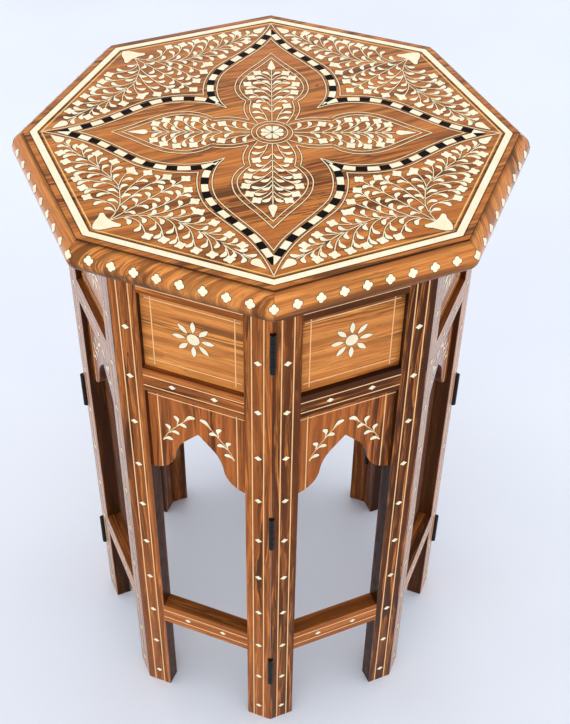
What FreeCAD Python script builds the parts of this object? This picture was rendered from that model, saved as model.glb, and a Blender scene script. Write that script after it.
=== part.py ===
import FreeCAD, Part
import os

import Sketcher

# Folding octagonal side table: a lift-off inlaid top on a base of eight hinged frame panels.
# Millimetres, +Z up, origin on the floor at the middle of the base.
# Corners of the base lie at -90, -45, 0 ... degrees, so one corner faces -Y.
# A panel is drawn once, facing -Y, and set eight times round the Z axis.

SIDES = 8
TURN = 360.0 / SIDES
HALF_TURN = TURN / 2
KNUCKLES = 5
# Depth of the widest point of the edge moulding under its upper edge, as a share of its height
NOSE_SHARE = 0.53

# Driving sizes
SIZES = {
    "table_height": 570.0,
    "top_thickness": 25.0,
    "top_across_flats": 381.0,
    "moulding_width": 9.5,
    "moulding_quirk": 1.5,
    "band_setback": 15.0,
    "band_width": 5.3,
    "band_depth": 2.0,
    "line_setback": 2.6,
    "line_width": 1.0,
    "line_depth": 1.0,
    "inlay_clearance": 0.05,
    "base_across_flats": 320.8,
    "panel_thickness": 15.0,
    "corner_gap": 0.4,
    "stile_width": 23.5,
    "top_rail_height": 29.3,
    "star_opening_height": 76.2,
    "mid_rail_height": 23.2,
    "arch_board_height": 93.3,
    "arch_rise": 54.0,
    "arch_shoulder_half": 12.0,
    "arch_shoulder_drop": 12.5,
    "arch_waist_half": 21.8,
    "arch_waist_drop": 33.0,
    "stretcher_height": 24.0,
    "stretcher_bottom": 108.0,
    "board_recess": 5.0,
    "board_thickness": 6.0,
    "groove_depth": 5.0,
    "tenon_length": 12.0,
    "joint_clearance": 0.1,
    "hinge_length": 38.0,
    "hinge_low_z": 86.0,
    "hinge_top_drop": 52.0,
    "hinge_pin_offset": 0.8,
    "barrel_diameter": 4.8,
    "pin_diameter": 2.2,
    "pin_clearance": 0.05,
    "barrel_relief": 0.3,
    "knuckle_gap": 0.2,
    "leaf_width": 13.0,
    "leaf_thickness": 1.2,
    "screw_setback": 9.0,
    "screw_spacing": 24.0,
    "screw_length": 10.0,
    "screw_head_diameter": 4.4,
    "screw_shank_diameter": 2.0,
    "screw_clearance": 0.05,
}

doc = FreeCAD.newDocument("folding_table")
sheet = doc.addObject("Spreadsheet::Sheet", "Dims")
for row, (alias, size) in enumerate(SIZES.items(), start=1):
    sheet.set(f"A{row}", alias)
    sheet.set(f"B{row}", str(size))
    sheet.setAlias(f"B{row}", alias)
doc.recompute()


def dim(alias):
    """Expression that reads one driving size."""
    return f"Dims.{alias}"


def value(expression):
    """Number that an expression stands for now."""
    return float(sheet.evalExpression(expression))


# Sizes that follow from the driving ones
SIN = f"sin({HALF_TURN})"
COS = f"cos({HALF_TURN})"
TAN = f"tan({HALF_TURN})"
BASE_TOP = f"({dim('table_height')} - {dim('top_thickness')})"
APOTHEM = f"({dim('base_across_flats')} / 2)"
OUTER_FACE = f"(-{APOTHEM})"
INNER_FACE = f"({dim('panel_thickness')} - {APOTHEM})"
OUTER_CORNER = f"({APOTHEM} / {COS})"
INNER_CORNER = f"(({APOTHEM} - {dim('panel_thickness')}) / {COS})"
HALF_SIDE = f"({APOTHEM} * {TAN})"
OPENING_HALF = f"({HALF_SIDE} - {dim('stile_width')})"
MITRE_SHIFT = f"({dim('corner_gap')} / 2 / {COS})"
TOP_RAIL_BOTTOM = f"({BASE_TOP} - {dim('top_rail_height')})"
MID_RAIL_TOP = f"({TOP_RAIL_BOTTOM} - {dim('star_opening_height')})"
MID_RAIL_BOTTOM = f"({MID_RAIL_TOP} - {dim('mid_rail_height')})"
ARCH_FOOT = f"({MID_RAIL_BOTTOM} - {dim('arch_board_height')})"
ARCH_APEX = f"({ARCH_FOOT} + {dim('arch_rise')})"
STRETCHER_TOP = f"({dim('stretcher_bottom')} + {dim('stretcher_height')})"
BOARD_FRONT = f"({OUTER_FACE} + {dim('board_recess')})"
BOARD_BACK = f"({BOARD_FRONT} + {dim('board_thickness')})"
GROOVE_FRONT = f"({BOARD_FRONT} - {dim('joint_clearance')})"
GROOVE_BACK = f"({BOARD_BACK} + {dim('joint_clearance')})"
TONGUE = f"({dim('groove_depth')} - {dim('joint_clearance')})"
TENON_HALF = f"({OPENING_HALF} + {dim('tenon_length')})"
BARREL_RADIUS = f"({dim('barrel_diameter')} / 2)"
PIN_RADIUS = f"({dim('pin_diameter')} / 2)"
LEAF_FACE = f"({dim('corner_gap')} / 2)"
LEAF_BACK = f"({LEAF_FACE} + {dim('leaf_thickness')})"
KNUCKLE_PITCH = f"({dim('hinge_length')} / {KNUCKLES})"
HINGE_LOW = dim("hinge_low_z")
HINGE_HIGH = f"({BASE_TOP} - {dim('hinge_top_drop')})"
HINGE_LEVELS = {"low": HINGE_LOW, "middle": f"({HINGE_LOW} + {HINGE_HIGH}) / 2", "high": HINGE_HIGH}
OUTER_PIN = f"({OUTER_CORNER} + {dim('hinge_pin_offset')})"
INNER_PIN = f"({INNER_CORNER} - {dim('hinge_pin_offset')})"
TOP_APOTHEM = f"({dim('top_across_flats')} / 2)"
BOARD_APOTHEM = f"({TOP_APOTHEM} - {dim('moulding_width')})"
BAND_OUTER = f"({TOP_APOTHEM} - {dim('band_setback')})"
BAND_INNER = f"({BAND_OUTER} - {dim('band_width')})"
LINE_OUTER = f"({BAND_INNER} - {dim('line_setback')})"
LINE_INNER = f"({LINE_OUTER} - {dim('line_width')})"


# Building blocks

def box(name, low, high):
    """Box between two corners given as expressions."""
    solid = doc.addObject("Part::Box", name)
    for size, axis, start, end in zip(("Length", "Width", "Height"), "xyz", low, high):
        solid.setExpression(size, f"{end} - {start}")
        solid.setExpression(f"Placement.Base.{axis}", start)
    return solid


def cylinder(name, radius, length, base_z):
    """Upright cylinder on the Z axis."""
    solid = doc.addObject("Part::Cylinder", name)
    solid.setExpression("Radius", radius)
    solid.setExpression("Height", length)
    solid.setExpression("Placement.Base.z", base_z)
    return solid


def fuse(name, pieces):
    """One solid from several that overlap."""
    solid = doc.addObject("Part::MultiFuse", name)
    solid.Shapes = pieces
    return solid


def cut(name, base, tool):
    """The base with the tool taken out."""
    solid = doc.addObject("Part::Cut", name)
    solid.Base = base
    solid.Tool = tool
    return solid


def common(name, base, tool):
    """What two solids share."""
    solid = doc.addObject("Part::Common", name)
    solid.Base = base
    solid.Tool = tool
    return solid


def mirrored(name, source, normal):
    """Mirror image in a plane through the origin."""
    solid = doc.addObject("Part::Mirroring", name)
    solid.Source = source
    solid.Normal = normal
    return solid


def group(name, pieces, turn=0.0, base=("0", "0", "0")):
    """Separate solids kept together, turned about Z and then moved."""
    whole = doc.addObject("Part::Compound", name)
    whole.Links = pieces
    whole.Placement = FreeCAD.Placement(FreeCAD.Vector(), FreeCAD.Rotation(FreeCAD.Vector(0, 0, 1), turn))
    for axis, place in zip("xyz", base):
        if place != "0":
            whole.setExpression(f"Placement.Base.{axis}", place)
    return whole


def arc_middle(start, end, heading):
    """Middle point of the arc that leaves start along heading and ends at end."""
    chord = end - start
    normal = FreeCAD.Vector(-heading.y, heading.x, 0)
    radius = chord.dot(chord) / (2 * chord.dot(normal))
    centre = start + normal * radius
    outward = (start + end) * 0.5 - centre
    return centre + outward.normalize() * abs(radius)


def arc_heading(start, end, heading):
    """Direction in which that arc arrives at its end."""
    along = (end - start).normalize()
    return along * (2 * along.dot(heading)) - heading


def end_of(sketch, edge, point):
    """Which end of a sketch edge, 1 or 2, lies at a point."""
    first = (sketch.getPoint(edge, 1) - point).Length
    second = (sketch.getPoint(edge, 2) - point).Length
    return 1 if first < second else 2


def outline(body, name, role, corners, bulges=None):
    """Closed sketch through corners, each (across, up, edge) with the edge that leaves it.

    An edge is "line", "curve", an arc that carries on from the edge before, or "bulge", an arc
    whose radius and side are given in bulges.
    """
    plane = [item for item in body.Origin.OriginFeatures if item.Role == role][0]
    sketch = body.newObject("Sketcher::SketchObject", name)
    sketch.AttachmentSupport = (plane, [""])
    sketch.MapMode = "FlatFace"
    points = [FreeCAD.Vector(value(across), value(up), 0) for across, up, edge in corners]
    heading = None
    styles = [edge for across, up, edge in corners]
    for index, start in enumerate(points):
        end = points[(index + 1) % len(points)]
        if styles[index] == "line":
            sketch.addGeometry(Part.LineSegment(start, end), False)
            heading = (end - start).normalize()
        elif styles[index] == "curve":
            sketch.addGeometry(Part.Arc(start, arc_middle(start, end, heading), end), False)
            heading = arc_heading(start, end, heading)
        else:
            tip = FreeCAD.Vector(value(bulges["tip"][0]), value(bulges["tip"][1]), 0)
            sketch.addGeometry(Part.Arc(start, tip, end), False)
    for index, start in enumerate(points):
        before = (index - 1) % len(points)
        kind = "Tangent" if styles[index] == "curve" else "Coincident"
        ends = (before, end_of(sketch, before, start), index, end_of(sketch, index, start))
        sketch.addConstraint(Sketcher.Constraint(kind, *ends))
        if styles[index] == "bulge":
            size = sketch.addConstraint(Sketcher.Constraint("Radius", index, value(bulges["radius"])))
            sketch.setExpression(f"Constraints[{size}]", bulges["radius"])
    for index, (across, up, edge) in enumerate(corners):
        at = end_of(sketch, index, points[index])
        for kind, axis, place in (("DistanceX", -2, across), ("DistanceY", -1, up)):
            if place == "0":
                sketch.addConstraint(Sketcher.Constraint("PointOnObject", index, at, axis))
                continue
            size = sketch.addConstraint(Sketcher.Constraint(kind, -1, 1, index, at, value(place)))
            sketch.setExpression(f"Constraints[{size}]", place)
    return sketch


def pad(body, sketch, length, both_ways=False):
    """Thickness for a sketch."""
    feature = body.newObject("PartDesign::Pad", f"{sketch.Name}_pad")
    feature.Profile = sketch
    feature.setExpression("Length", length)
    feature.Midplane = both_ways
    return feature


# Hinge, about its own pin on the Z axis: leaves run along +X in the corner joint

def knuckles(name, slots, radius, slack):
    """Hinge knuckles in the numbered slots, counted from the bottom."""
    rings = []
    for slot in slots:
        bottom = f"({slot} - {KNUCKLES} / 2) * {KNUCKLE_PITCH} - {slack}"
        rings.append(cylinder(f"{name}_{slot}", radius, f"{KNUCKLE_PITCH} + 2 * {slack}", bottom))
    return rings


def screw_at(name, head, shank, length):
    """Countersunk screw shape along +Y from the face of the leaf, twice, one above the other."""
    shapes = []
    for side in (-1, 1):
        cone = doc.addObject("Part::Cone", f"{name}_head_{side + 1}")
        cone.setExpression("Radius1", head)
        cone.setExpression("Radius2", shank)
        cone.setExpression("Height", dim("leaf_thickness"))
        rod = doc.addObject("Part::Cylinder", f"{name}_shank_{side + 1}")
        rod.setExpression("Radius", shank)
        rod.setExpression("Height", length)
        for shape in (cone, rod):
            shape.Placement.Rotation = FreeCAD.Rotation(FreeCAD.Vector(1, 0, 0), -90)
            shape.setExpression("Placement.Base.x", dim("screw_setback"))
            shape.setExpression("Placement.Base.y", LEAF_FACE)
            shape.setExpression("Placement.Base.z", f"{side} * {dim('screw_spacing')} / 2")
        shapes.append(fuse(f"{name}_{side + 1}", [cone, rod]))
    return shapes


def hinge_leaf(name, own_slots):
    """One hinge leaf: its plate and knuckles, bored for the pin and holed for two screws."""
    half = f"({dim('hinge_length')} / 2)"
    other_slots = [slot for slot in range(KNUCKLES) if slot not in own_slots]
    plate = box(f"{name}_plate", ("0", LEAF_FACE, f"-{half}"), (dim("leaf_width"), LEAF_BACK, half))
    gap = dim("knuckle_gap")
    blank = fuse(f"{name}_blank", [plate] + knuckles(f"{name}_ring", own_slots, BARREL_RADIUS, "0"))
    room = knuckles(f"{name}_room", other_slots, f"{BARREL_RADIUS} + {gap}", gap)
    bore_half = f"({half} + {gap})"
    bore_radius = f"{PIN_RADIUS} + {dim('pin_clearance')}"
    bore = cylinder(f"{name}_bore", bore_radius, f"2 * {bore_half}", f"-{bore_half}")
    slack = dim("screw_clearance")
    head = f"{dim('screw_head_diameter')} / 2 + {slack}"
    shank = f"{dim('screw_shank_diameter')} / 2 + {slack}"
    holes = screw_at(f"{name}_hole", head, shank, dim("screw_length"))
    return cut(name, blank, fuse(f"{name}_cuts", room + [bore] + holes))


def hinge_pocket():
    """What a hinge takes out of a stile: the leaf's bed, room for the barrel and pilot holes."""
    slack = dim("joint_clearance")
    half = f"({dim('hinge_length')} / 2 + {slack})"
    bed_end = f"({dim('leaf_width')} + {slack})"
    bed = box("pocket_bed", ("0", "0", f"-{half}"), (bed_end, f"{LEAF_BACK} + {slack}", half))
    relief = f"{BARREL_RADIUS} + {dim('barrel_relief')}"
    barrel = cylinder("pocket_barrel", relief, f"2 * {half}", f"-{half}")
    pilot = f"{dim('screw_shank_diameter')} / 2 + {dim('screw_clearance')}"
    head = f"{dim('screw_head_diameter')} / 2"
    pilots = screw_at("pocket_pilot", head, pilot, f"{dim('screw_length')} + {slack}")
    return fuse("hinge_pocket", [bed, barrel] + pilots)


def stack(name, pieces):
    """The pieces of one hinge at each hinge height."""
    levels = []
    for level, height in HINGE_LEVELS.items():
        levels.append(group(f"{name}_{level}", pieces, base=("0", "0", height)))
    return group(name, levels)


hinge_pin = cylinder("hinge_pin", PIN_RADIUS, dim("hinge_length"), f"-{dim('hinge_length')} / 2")
screw_head = f"{dim('screw_head_diameter')} / 2"
screw_shank = f"{dim('screw_shank_diameter')} / 2"
screws = screw_at("screw", screw_head, screw_shank, dim("screw_length"))
leaf_stack = {
    0: stack("three_knuckle_leaves", [hinge_leaf("three_knuckle_leaf", (0, 2, 4))]),
    1: stack("two_knuckle_leaves", [hinge_leaf("two_knuckle_leaf", (1, 3))]),
}
screw_stack = stack("screws", screws)
pocket_stack = stack("hinge_pockets", [hinge_pocket()])
pin_stack = stack("hinge_pins", [hinge_pin])
SIDEWAYS = FreeCAD.Vector(0, 1, 0)
far_side = {}
for near in (leaf_stack[0], screw_stack, pocket_stack):
    far_side[near.Name] = mirrored(f"{near.Name}_far", near, SIDEWAYS)

# Where a hinge stands on a panel that faces -Y: turn of its leaf and place of its pin.
# A left outer and a right inner hinge take the far side of the joint.
OUTER_X = f"{OUTER_PIN} * {SIN}"
INNER_X = f"{INNER_PIN} * {SIN}"
OUTER_Y = f"-{OUTER_PIN} * {COS}"
INNER_Y = f"-{INNER_PIN} * {COS}"
HINGE_PLACES = {
    "left_outer": (90 - HALF_TURN, (f"-{OUTER_X}", OUTER_Y, "0")),
    "right_inner": (HALF_TURN - 90, (INNER_X, INNER_Y, "0")),
    "left_inner": (-90 - HALF_TURN, (f"-{INNER_X}", INNER_Y, "0")),
    "right_outer": (90 + HALF_TURN, (OUTER_X, OUTER_Y, "0")),
}
PANEL_HINGES = {0: ("left_outer", "right_inner"), 1: ("left_inner", "right_outer")}


def on_panel(pieces, place):
    """Hinge pieces set at one of the four places."""
    turn, base = HINGE_PLACES[place]
    return group(f"{pieces.Name}_{place}", [pieces], turn, base)


# Frame of a panel: two stiles and three rails

def rail(name, bottom, top, groove_sides):
    """Rail with a tenon at each end and a groove along the edges that hold a board."""
    bar = box(f"{name}_bar", (f"-{OPENING_HALF}", OUTER_FACE, bottom), (OPENING_HALF, INNER_FACE, top))
    depth = dim("groove_depth")
    tenon_low = (f"-{TENON_HALF}", BOARD_FRONT, f"({bottom} + {depth})")
    tenon_high = (TENON_HALF, BOARD_BACK, f"({top} - {depth})")
    blank = fuse(f"{name}_blank", [bar, box(f"{name}_tenons", tenon_low, tenon_high)])
    spans = {"below": (bottom, f"({bottom} + {depth})"), "above": (f"({top} - {depth})", top)}
    for side in groove_sides:
        low, high = spans[side]
        groove = box(f"{name}_groove_{side}", (f"-{OPENING_HALF}", GROOVE_FRONT, low),
                     (OPENING_HALF, GROOVE_BACK, high))
        blank = cut(f"{name}_{side}", blank, groove)
    return blank


RAILS = {
    "top_rail": (TOP_RAIL_BOTTOM, BASE_TOP, ("below",)),
    "mid_rail": (MID_RAIL_BOTTOM, MID_RAIL_TOP, ("below", "above")),
    "stretcher": (dim("stretcher_bottom"), STRETCHER_TOP, ()),
}
rails = [rail(name, *spans) for name, spans in RAILS.items()]


def plain_stile():
    """Right-hand stile: mitred at the corner, grooved and mortised along its inner edge."""
    body = doc.addObject("PartDesign::Body", "stile_blank")
    corner = f"({HALF_SIDE} - {MITRE_SHIFT})"
    inner_corner = f"({corner} - {dim('panel_thickness')} * {TAN})"
    corners = [(OPENING_HALF, OUTER_FACE, "line"), (corner, OUTER_FACE, "line"),
               (inner_corner, INNER_FACE, "line"), (OPENING_HALF, INNER_FACE, "line")]
    pad(body, outline(body, "stile_section", "XY_Plane", corners), BASE_TOP)
    groove_end = (f"({OPENING_HALF} + {dim('groove_depth')})", GROOVE_BACK, f"({TOP_RAIL_BOTTOM} + {TONGUE})")
    cuts = [box("stile_groove", (OPENING_HALF, GROOVE_FRONT, ARCH_FOOT), groove_end)]
    for name, (bottom, top, grooves) in RAILS.items():
        low = (OPENING_HALF, GROOVE_FRONT, f"({bottom} + {TONGUE})")
        high = (f"({TENON_HALF} + {dim('joint_clearance')})", GROOVE_BACK, f"({top} - {TONGUE})")
        cuts.append(box(f"{name}_mortise", low, high))
    return cut("plain_stile", body, fuse("stile_cuts", cuts))


ALONG = FreeCAD.Vector(1, 0, 0)
right_stile = plain_stile()
left_stile = mirrored("left_stile", right_stile, ALONG)
far_pockets = far_side[pocket_stack.Name]
outer_hinge_stile = cut("outer_hinge_stile", left_stile, on_panel(far_pockets, "left_outer"))
inner_hinge_stile = cut("inner_hinge_stile", right_stile, on_panel(far_pockets, "right_inner"))
stiles = {
    0: [outer_hinge_stile, inner_hinge_stile],
    1: [mirrored("inner_hinge_stile_left", inner_hinge_stile, ALONG),
        mirrored("outer_hinge_stile_right", outer_hinge_stile, ALONG)],
}


# Boards held in the grooves

def board(name, bottom, top):
    """Thin board whose side edges sit in the stiles' grooves."""
    half = f"({OPENING_HALF} + {TONGUE})"
    return box(name, (f"-{half}", BOARD_FRONT, bottom), (half, BOARD_BACK, top))


def arch_void():
    """Right half of the pointed arch under the lower board, run right through the base."""
    body = doc.addObject("PartDesign::Body", "arch_void")
    below = f"({ARCH_FOOT} - {dim('arch_rise')})"
    corners = [
        ("0", ARCH_APEX, "line"),
        (dim("arch_shoulder_half"), f"({ARCH_APEX} - {dim('arch_shoulder_drop')})", "curve"),
        (dim("arch_waist_half"), f"({ARCH_APEX} - {dim('arch_waist_drop')})", "curve"),
        (OPENING_HALF, ARCH_FOOT, "line"),
        (OPENING_HALF, below, "line"),
        ("0", below, "line"),
    ]
    pad(body, outline(body, "arch_curve", "XZ_Plane", corners), f"2 * {APOTHEM}", both_ways=True)
    return body


star_board = board("star_board", f"({MID_RAIL_TOP} - {TONGUE})", f"({TOP_RAIL_BOTTOM} + {TONGUE})")
half_void = arch_void()
other_void = mirrored("arch_void_left", half_void, ALONG)
arch_blank = board("arch_blank", ARCH_FOOT, f"({MID_RAIL_BOTTOM} + {TONGUE})")
arch_board = cut("arch_board", cut("arch_half", arch_blank, half_void), other_void)


# Table top: board, eight edge mouldings, cream band and fine line let into the board

def sector():
    """An eighth of the top, from well inside the fine line to past the band, for mitred strips."""
    body = doc.addObject("PartDesign::Body", "sector")
    near = f"({LINE_INNER} / 2)"
    far = BOARD_APOTHEM
    corners = [(f"-{near} * {TAN}", f"-{near}", "line"), (f"-{far} * {TAN}", f"-{far}", "line"),
               (f"{far} * {TAN}", f"-{far}", "line"), (f"{near} * {TAN}", f"-{near}", "line")]
    pad(body, outline(body, "sector_plan", "XY_Plane", corners), dim("table_height"))
    return body


def edge_moulding():
    """Rounded edge along one side of the top, a step below it, its ends turned half way round the corners."""
    body = doc.addObject("PartDesign::Body", "moulding_blank")
    back = f"-{BOARD_APOTHEM}"
    crown = f"({dim('table_height')} - {dim('moulding_quirk')})"
    rise = f"({NOSE_SHARE} * ({crown} - {BASE_TOP}))"
    drop = f"({crown} - {BASE_TOP} - {rise})"
    width = dim("moulding_width")
    radius = f"(({rise} * {rise} + {width} * {width}) / (2 * {width}))"
    foot = f"-({TOP_APOTHEM} - {radius} + sqrt({radius} * {radius} - {drop} * {drop}))"
    tip = (f"-{TOP_APOTHEM}", f"({crown} - {rise})")
    corners = [(back, BASE_TOP, "line"), (foot, BASE_TOP, "bulge"), (back, crown, "line")]
    section = outline(body, "moulding_section", "YZ_Plane", corners, {"tip": tip, "radius": radius})
    pad(body, section, f"2 * {BOARD_APOTHEM} * {TAN}", both_ways=True)
    turned = doc.addObject("Part::Revolution", "moulding_turn")
    turned.Source = section
    turned.Axis = FreeCAD.Vector(0, 0, 1)
    turned.setExpression("Base.y", back)
    turned.Angle = HALF_TURN
    turned.Solid = True
    right_end = group("moulding_right_end", [turned], base=(f"{BOARD_APOTHEM} * {TAN}", "0", "0"))
    left_end = mirrored("moulding_left_end", right_end, ALONG)
    return fuse("moulding", [body, right_end, left_end])


def octagon(name, apothem, bottom, height):
    """Eight-sided block with its corners on the base's corners."""
    solid = doc.addObject("Part::Prism", name)
    solid.Polygon = SIDES
    solid.setExpression("Circumradius", f"{apothem} / {COS}")
    solid.setExpression("Height", height)
    solid.setExpression("Placement.Base.z", bottom)
    return solid


def inlay_strip(name, outer, inner, depth):
    """Strip of inlay along one side, flush with the top, before its ends are mitred."""
    low = (f"-{outer} * {TAN}", f"-{outer}", f"({dim('table_height')} - {depth})")
    high = (f"{outer} * {TAN}", f"-{inner}", dim("table_height"))
    return box(name, low, high)


def inlay_bed(name, outer, inner, depth):
    """Octagonal groove in the top that takes eight strips."""
    slack = dim("inlay_clearance")
    floor = f"({dim('table_height')} - {depth} - {slack})"
    whole = octagon(f"{name}_outer", f"({outer} + {slack})", floor, f"2 * {depth}")
    middle = octagon(f"{name}_inner", f"({inner} - {slack})", floor, f"2 * {depth}")
    return cut(name, whole, middle)


def all_round(name, piece):
    """A piece repeated on every side."""
    return [group(f"{name}_{side + 1}", [piece], HALF_TURN + side * TURN) for side in range(SIDES)]


eighth = sector()
INLAYS = {
    "band": (BAND_OUTER, BAND_INNER, dim("band_depth")),
    "line": (LINE_OUTER, LINE_INNER, dim("line_depth")),
}
strips = {}
top_board = octagon("top_blank", BOARD_APOTHEM, BASE_TOP, dim("top_thickness"))
for inlay, sizes in INLAYS.items():
    strips[inlay] = common(f"{inlay}_strip", inlay_strip(f"{inlay}_length", *sizes), eighth)
    top_board = cut(f"top_board_{inlay}", top_board, inlay_bed(f"{inlay}_bed", *sizes))
moulding = edge_moulding()

# Sub-parts, each under the name of its file
sub_parts = [
    group("top_board", [top_board]),
    group("top_edge_mouldings", all_round("moulding_side", moulding)),
    group("top_border_band", all_round("band_side", strips["band"])),
    group("top_border_line", all_round("line_side", strips["line"])),
]
leaf_sets = {0: far_side[leaf_stack[0].Name], 1: leaf_stack[1]}
screw_sets = {0: far_side[screw_stack.Name], 1: screw_stack}
leaves = {kind: [on_panel(leaf_sets[kind], place) for place in PANEL_HINGES[kind]] for kind in (0, 1)}
leaf_screws = {kind: [on_panel(screw_sets[kind], place) for place in PANEL_HINGES[kind]] for kind in (0, 1)}
pins = [on_panel(pin_stack, place) for place in PANEL_HINGES[0]]
for side in range(SIDES):
    kind = side % 2
    turn = HALF_TURN + side * TURN
    panel = f"panel_{side + 1}"
    sub_parts.append(group(f"{panel}_stiles", stiles[kind], turn))
    sub_parts.append(group(f"{panel}_rails", rails, turn))
    sub_parts.append(group(f"{panel}_star_board", [star_board], turn))
    sub_parts.append(group(f"{panel}_arch_board", [arch_board], turn))
    sub_parts.append(group(f"{panel}_hinge_leaves", leaves[kind], turn))
    sub_parts.append(group(f"{panel}_hinge_screws", leaf_screws[kind], turn))
    if kind == 0:
        sub_parts.append(group(f"{panel}_hinge_pins", pins, turn))
for part in sub_parts:
    part.Label = part.Name

doc.recompute()
for item in doc.Objects:
    if "Invalid" in item.State or "Error" in item.State:
        raise RuntimeError(f"{item.Name} failed: {item.State}")
for part in sub_parts:
    if part.Shape.isNull() or not part.Shape.isValid():
        raise RuntimeError(f"{part.Label} has no valid shape")

os.makedirs("parts", exist_ok=True)
for part in sub_parts:
    part.Shape.exportStep(f"parts/{part.Label}.step")
    print(part.Label, len(part.Shape.Solids), "solids", round(part.Shape.Volume, 1), "mm3")
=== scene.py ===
"""Looks of a folding octagonal side table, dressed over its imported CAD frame.

The timber, the hinges and the border strips of the top are CAD solids that get their finishes here.
The inlay let into their faces is built here: the checkered star, sprigs, rosette, string lines, small
diamonds and stars. Each inlay piece stands a hair above the wood, and all but the strings of the base
have a dark filler line round them.
"""

from __future__ import annotations

import logging
import math
from dataclasses import dataclass, field, replace
from enum import Enum
from typing import Callable, ClassVar, Iterable

import bmesh
import bpy
from mathutils import Matrix, Vector, geometry


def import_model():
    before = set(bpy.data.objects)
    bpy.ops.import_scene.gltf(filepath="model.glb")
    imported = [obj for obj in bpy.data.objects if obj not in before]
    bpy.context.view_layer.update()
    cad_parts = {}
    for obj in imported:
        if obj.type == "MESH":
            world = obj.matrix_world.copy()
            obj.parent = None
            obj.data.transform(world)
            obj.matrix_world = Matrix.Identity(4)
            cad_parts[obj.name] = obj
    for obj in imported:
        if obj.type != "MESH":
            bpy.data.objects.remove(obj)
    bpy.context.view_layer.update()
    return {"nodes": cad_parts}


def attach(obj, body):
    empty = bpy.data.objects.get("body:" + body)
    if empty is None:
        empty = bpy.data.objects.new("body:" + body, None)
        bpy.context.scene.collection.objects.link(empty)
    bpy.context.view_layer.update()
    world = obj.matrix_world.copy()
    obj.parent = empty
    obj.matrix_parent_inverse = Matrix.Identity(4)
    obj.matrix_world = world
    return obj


log = logging.getLogger("table")

MM = 0.001
SIDES = 8
TURN = math.tau / SIDES
HALF_TURN = TURN / 2
QUARTERS = 4
FRONT = -math.pi / 2
DIAGONAL = -math.pi / 4
UPRIGHT = math.pi / 2
FLOAT = "NodeSocketFloat"
VECTOR = "NodeSocketVector"

Point = tuple[float, float]
Place = tuple[float, float, float]
Colour = tuple[float, float, float]
Line = tuple[Point, ...]
Leaf = tuple[Point, Point, int]  # tail, head and curl
Shape = Callable[[float, float], Point]
Socket = bpy.types.NodeSocket
Node = bpy.types.Node
Outputs = bpy.types.NodeOutputs
Tree = bpy.types.NodeTree
Terms = dict[str | int, object]
Material = bpy.types.Material
Mesh = bmesh.types.BMesh
Vert = bmesh.types.BMVert
Move = Callable[[Vector], Vector]


# Sizes that the looks share with the CAD frame


@dataclass(frozen=True)
class TableSizes:
    """Main sizes of the table, in millimetres."""

    height: float = 570.0
    top_thickness: float = 25.0
    top_apothem: float = 190.5
    moulding_width: float = 9.5
    moulding_quirk: float = 1.5
    nose_share: float = 0.53
    band_setback: float = 15.0
    band_width: float = 5.3
    base_apothem: float = 160.4
    board_recess: float = 5.0

    @property
    def seam_apothem(self) -> float:
        """Distance from the middle to the seam between board and mouldings."""
        return self.top_apothem - self.moulding_width

    @property
    def band_edges(self) -> Point:
        """Distances from the middle to the border band's inner and outer edge."""
        outer = self.top_apothem - self.band_setback
        return outer - self.band_width, outer

    @property
    def half_side(self) -> float:
        """Half the width of a panel at its outer face."""
        return self.base_apothem * math.tan(HALF_TURN)

    @property
    def nose_rise(self) -> float:
        """Height of the moulding's upper edge above its widest point."""
        return self.nose_share * (self.top_thickness - self.moulding_quirk)

    @property
    def nose_height(self) -> float:
        """Height of the moulding's widest point."""
        return self.height - self.moulding_quirk - self.nose_rise

    @property
    def nose_radius(self) -> float:
        """Radius of the moulding's round, from its rise and width."""
        return (self.nose_rise ** 2 + self.moulding_width ** 2) / (2 * self.moulding_width)


TABLE = TableSizes()


def side_turn(side: int) -> float:
    """Turn about Z of a side, counted from 0 at the front right."""
    return HALF_TURN + side * TURN


def put(name: str, data: bpy.types.ID) -> bpy.types.Object:
    """Puts an object at the origin of the scene.

    Args:
        name: the object's name.
        data: its mesh, light or camera.

    Returns:
        The new object.
    """
    thing = bpy.data.objects.new(name, data)
    bpy.context.scene.collection.objects.link(thing)
    return thing


def put_mesh(name: str, mesh: Mesh, material: Material) -> bpy.types.Object:
    """Makes an object from a mesh and frees the mesh.

    Args:
        name: the object's name.
        mesh: its shape, in metres.
        material: its finish.

    Returns:
        The new object.
    """
    data = bpy.data.meshes.new(name)
    mesh.to_mesh(data)
    mesh.free()
    data.materials.append(material)
    return put(name, data)


# Node building


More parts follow.
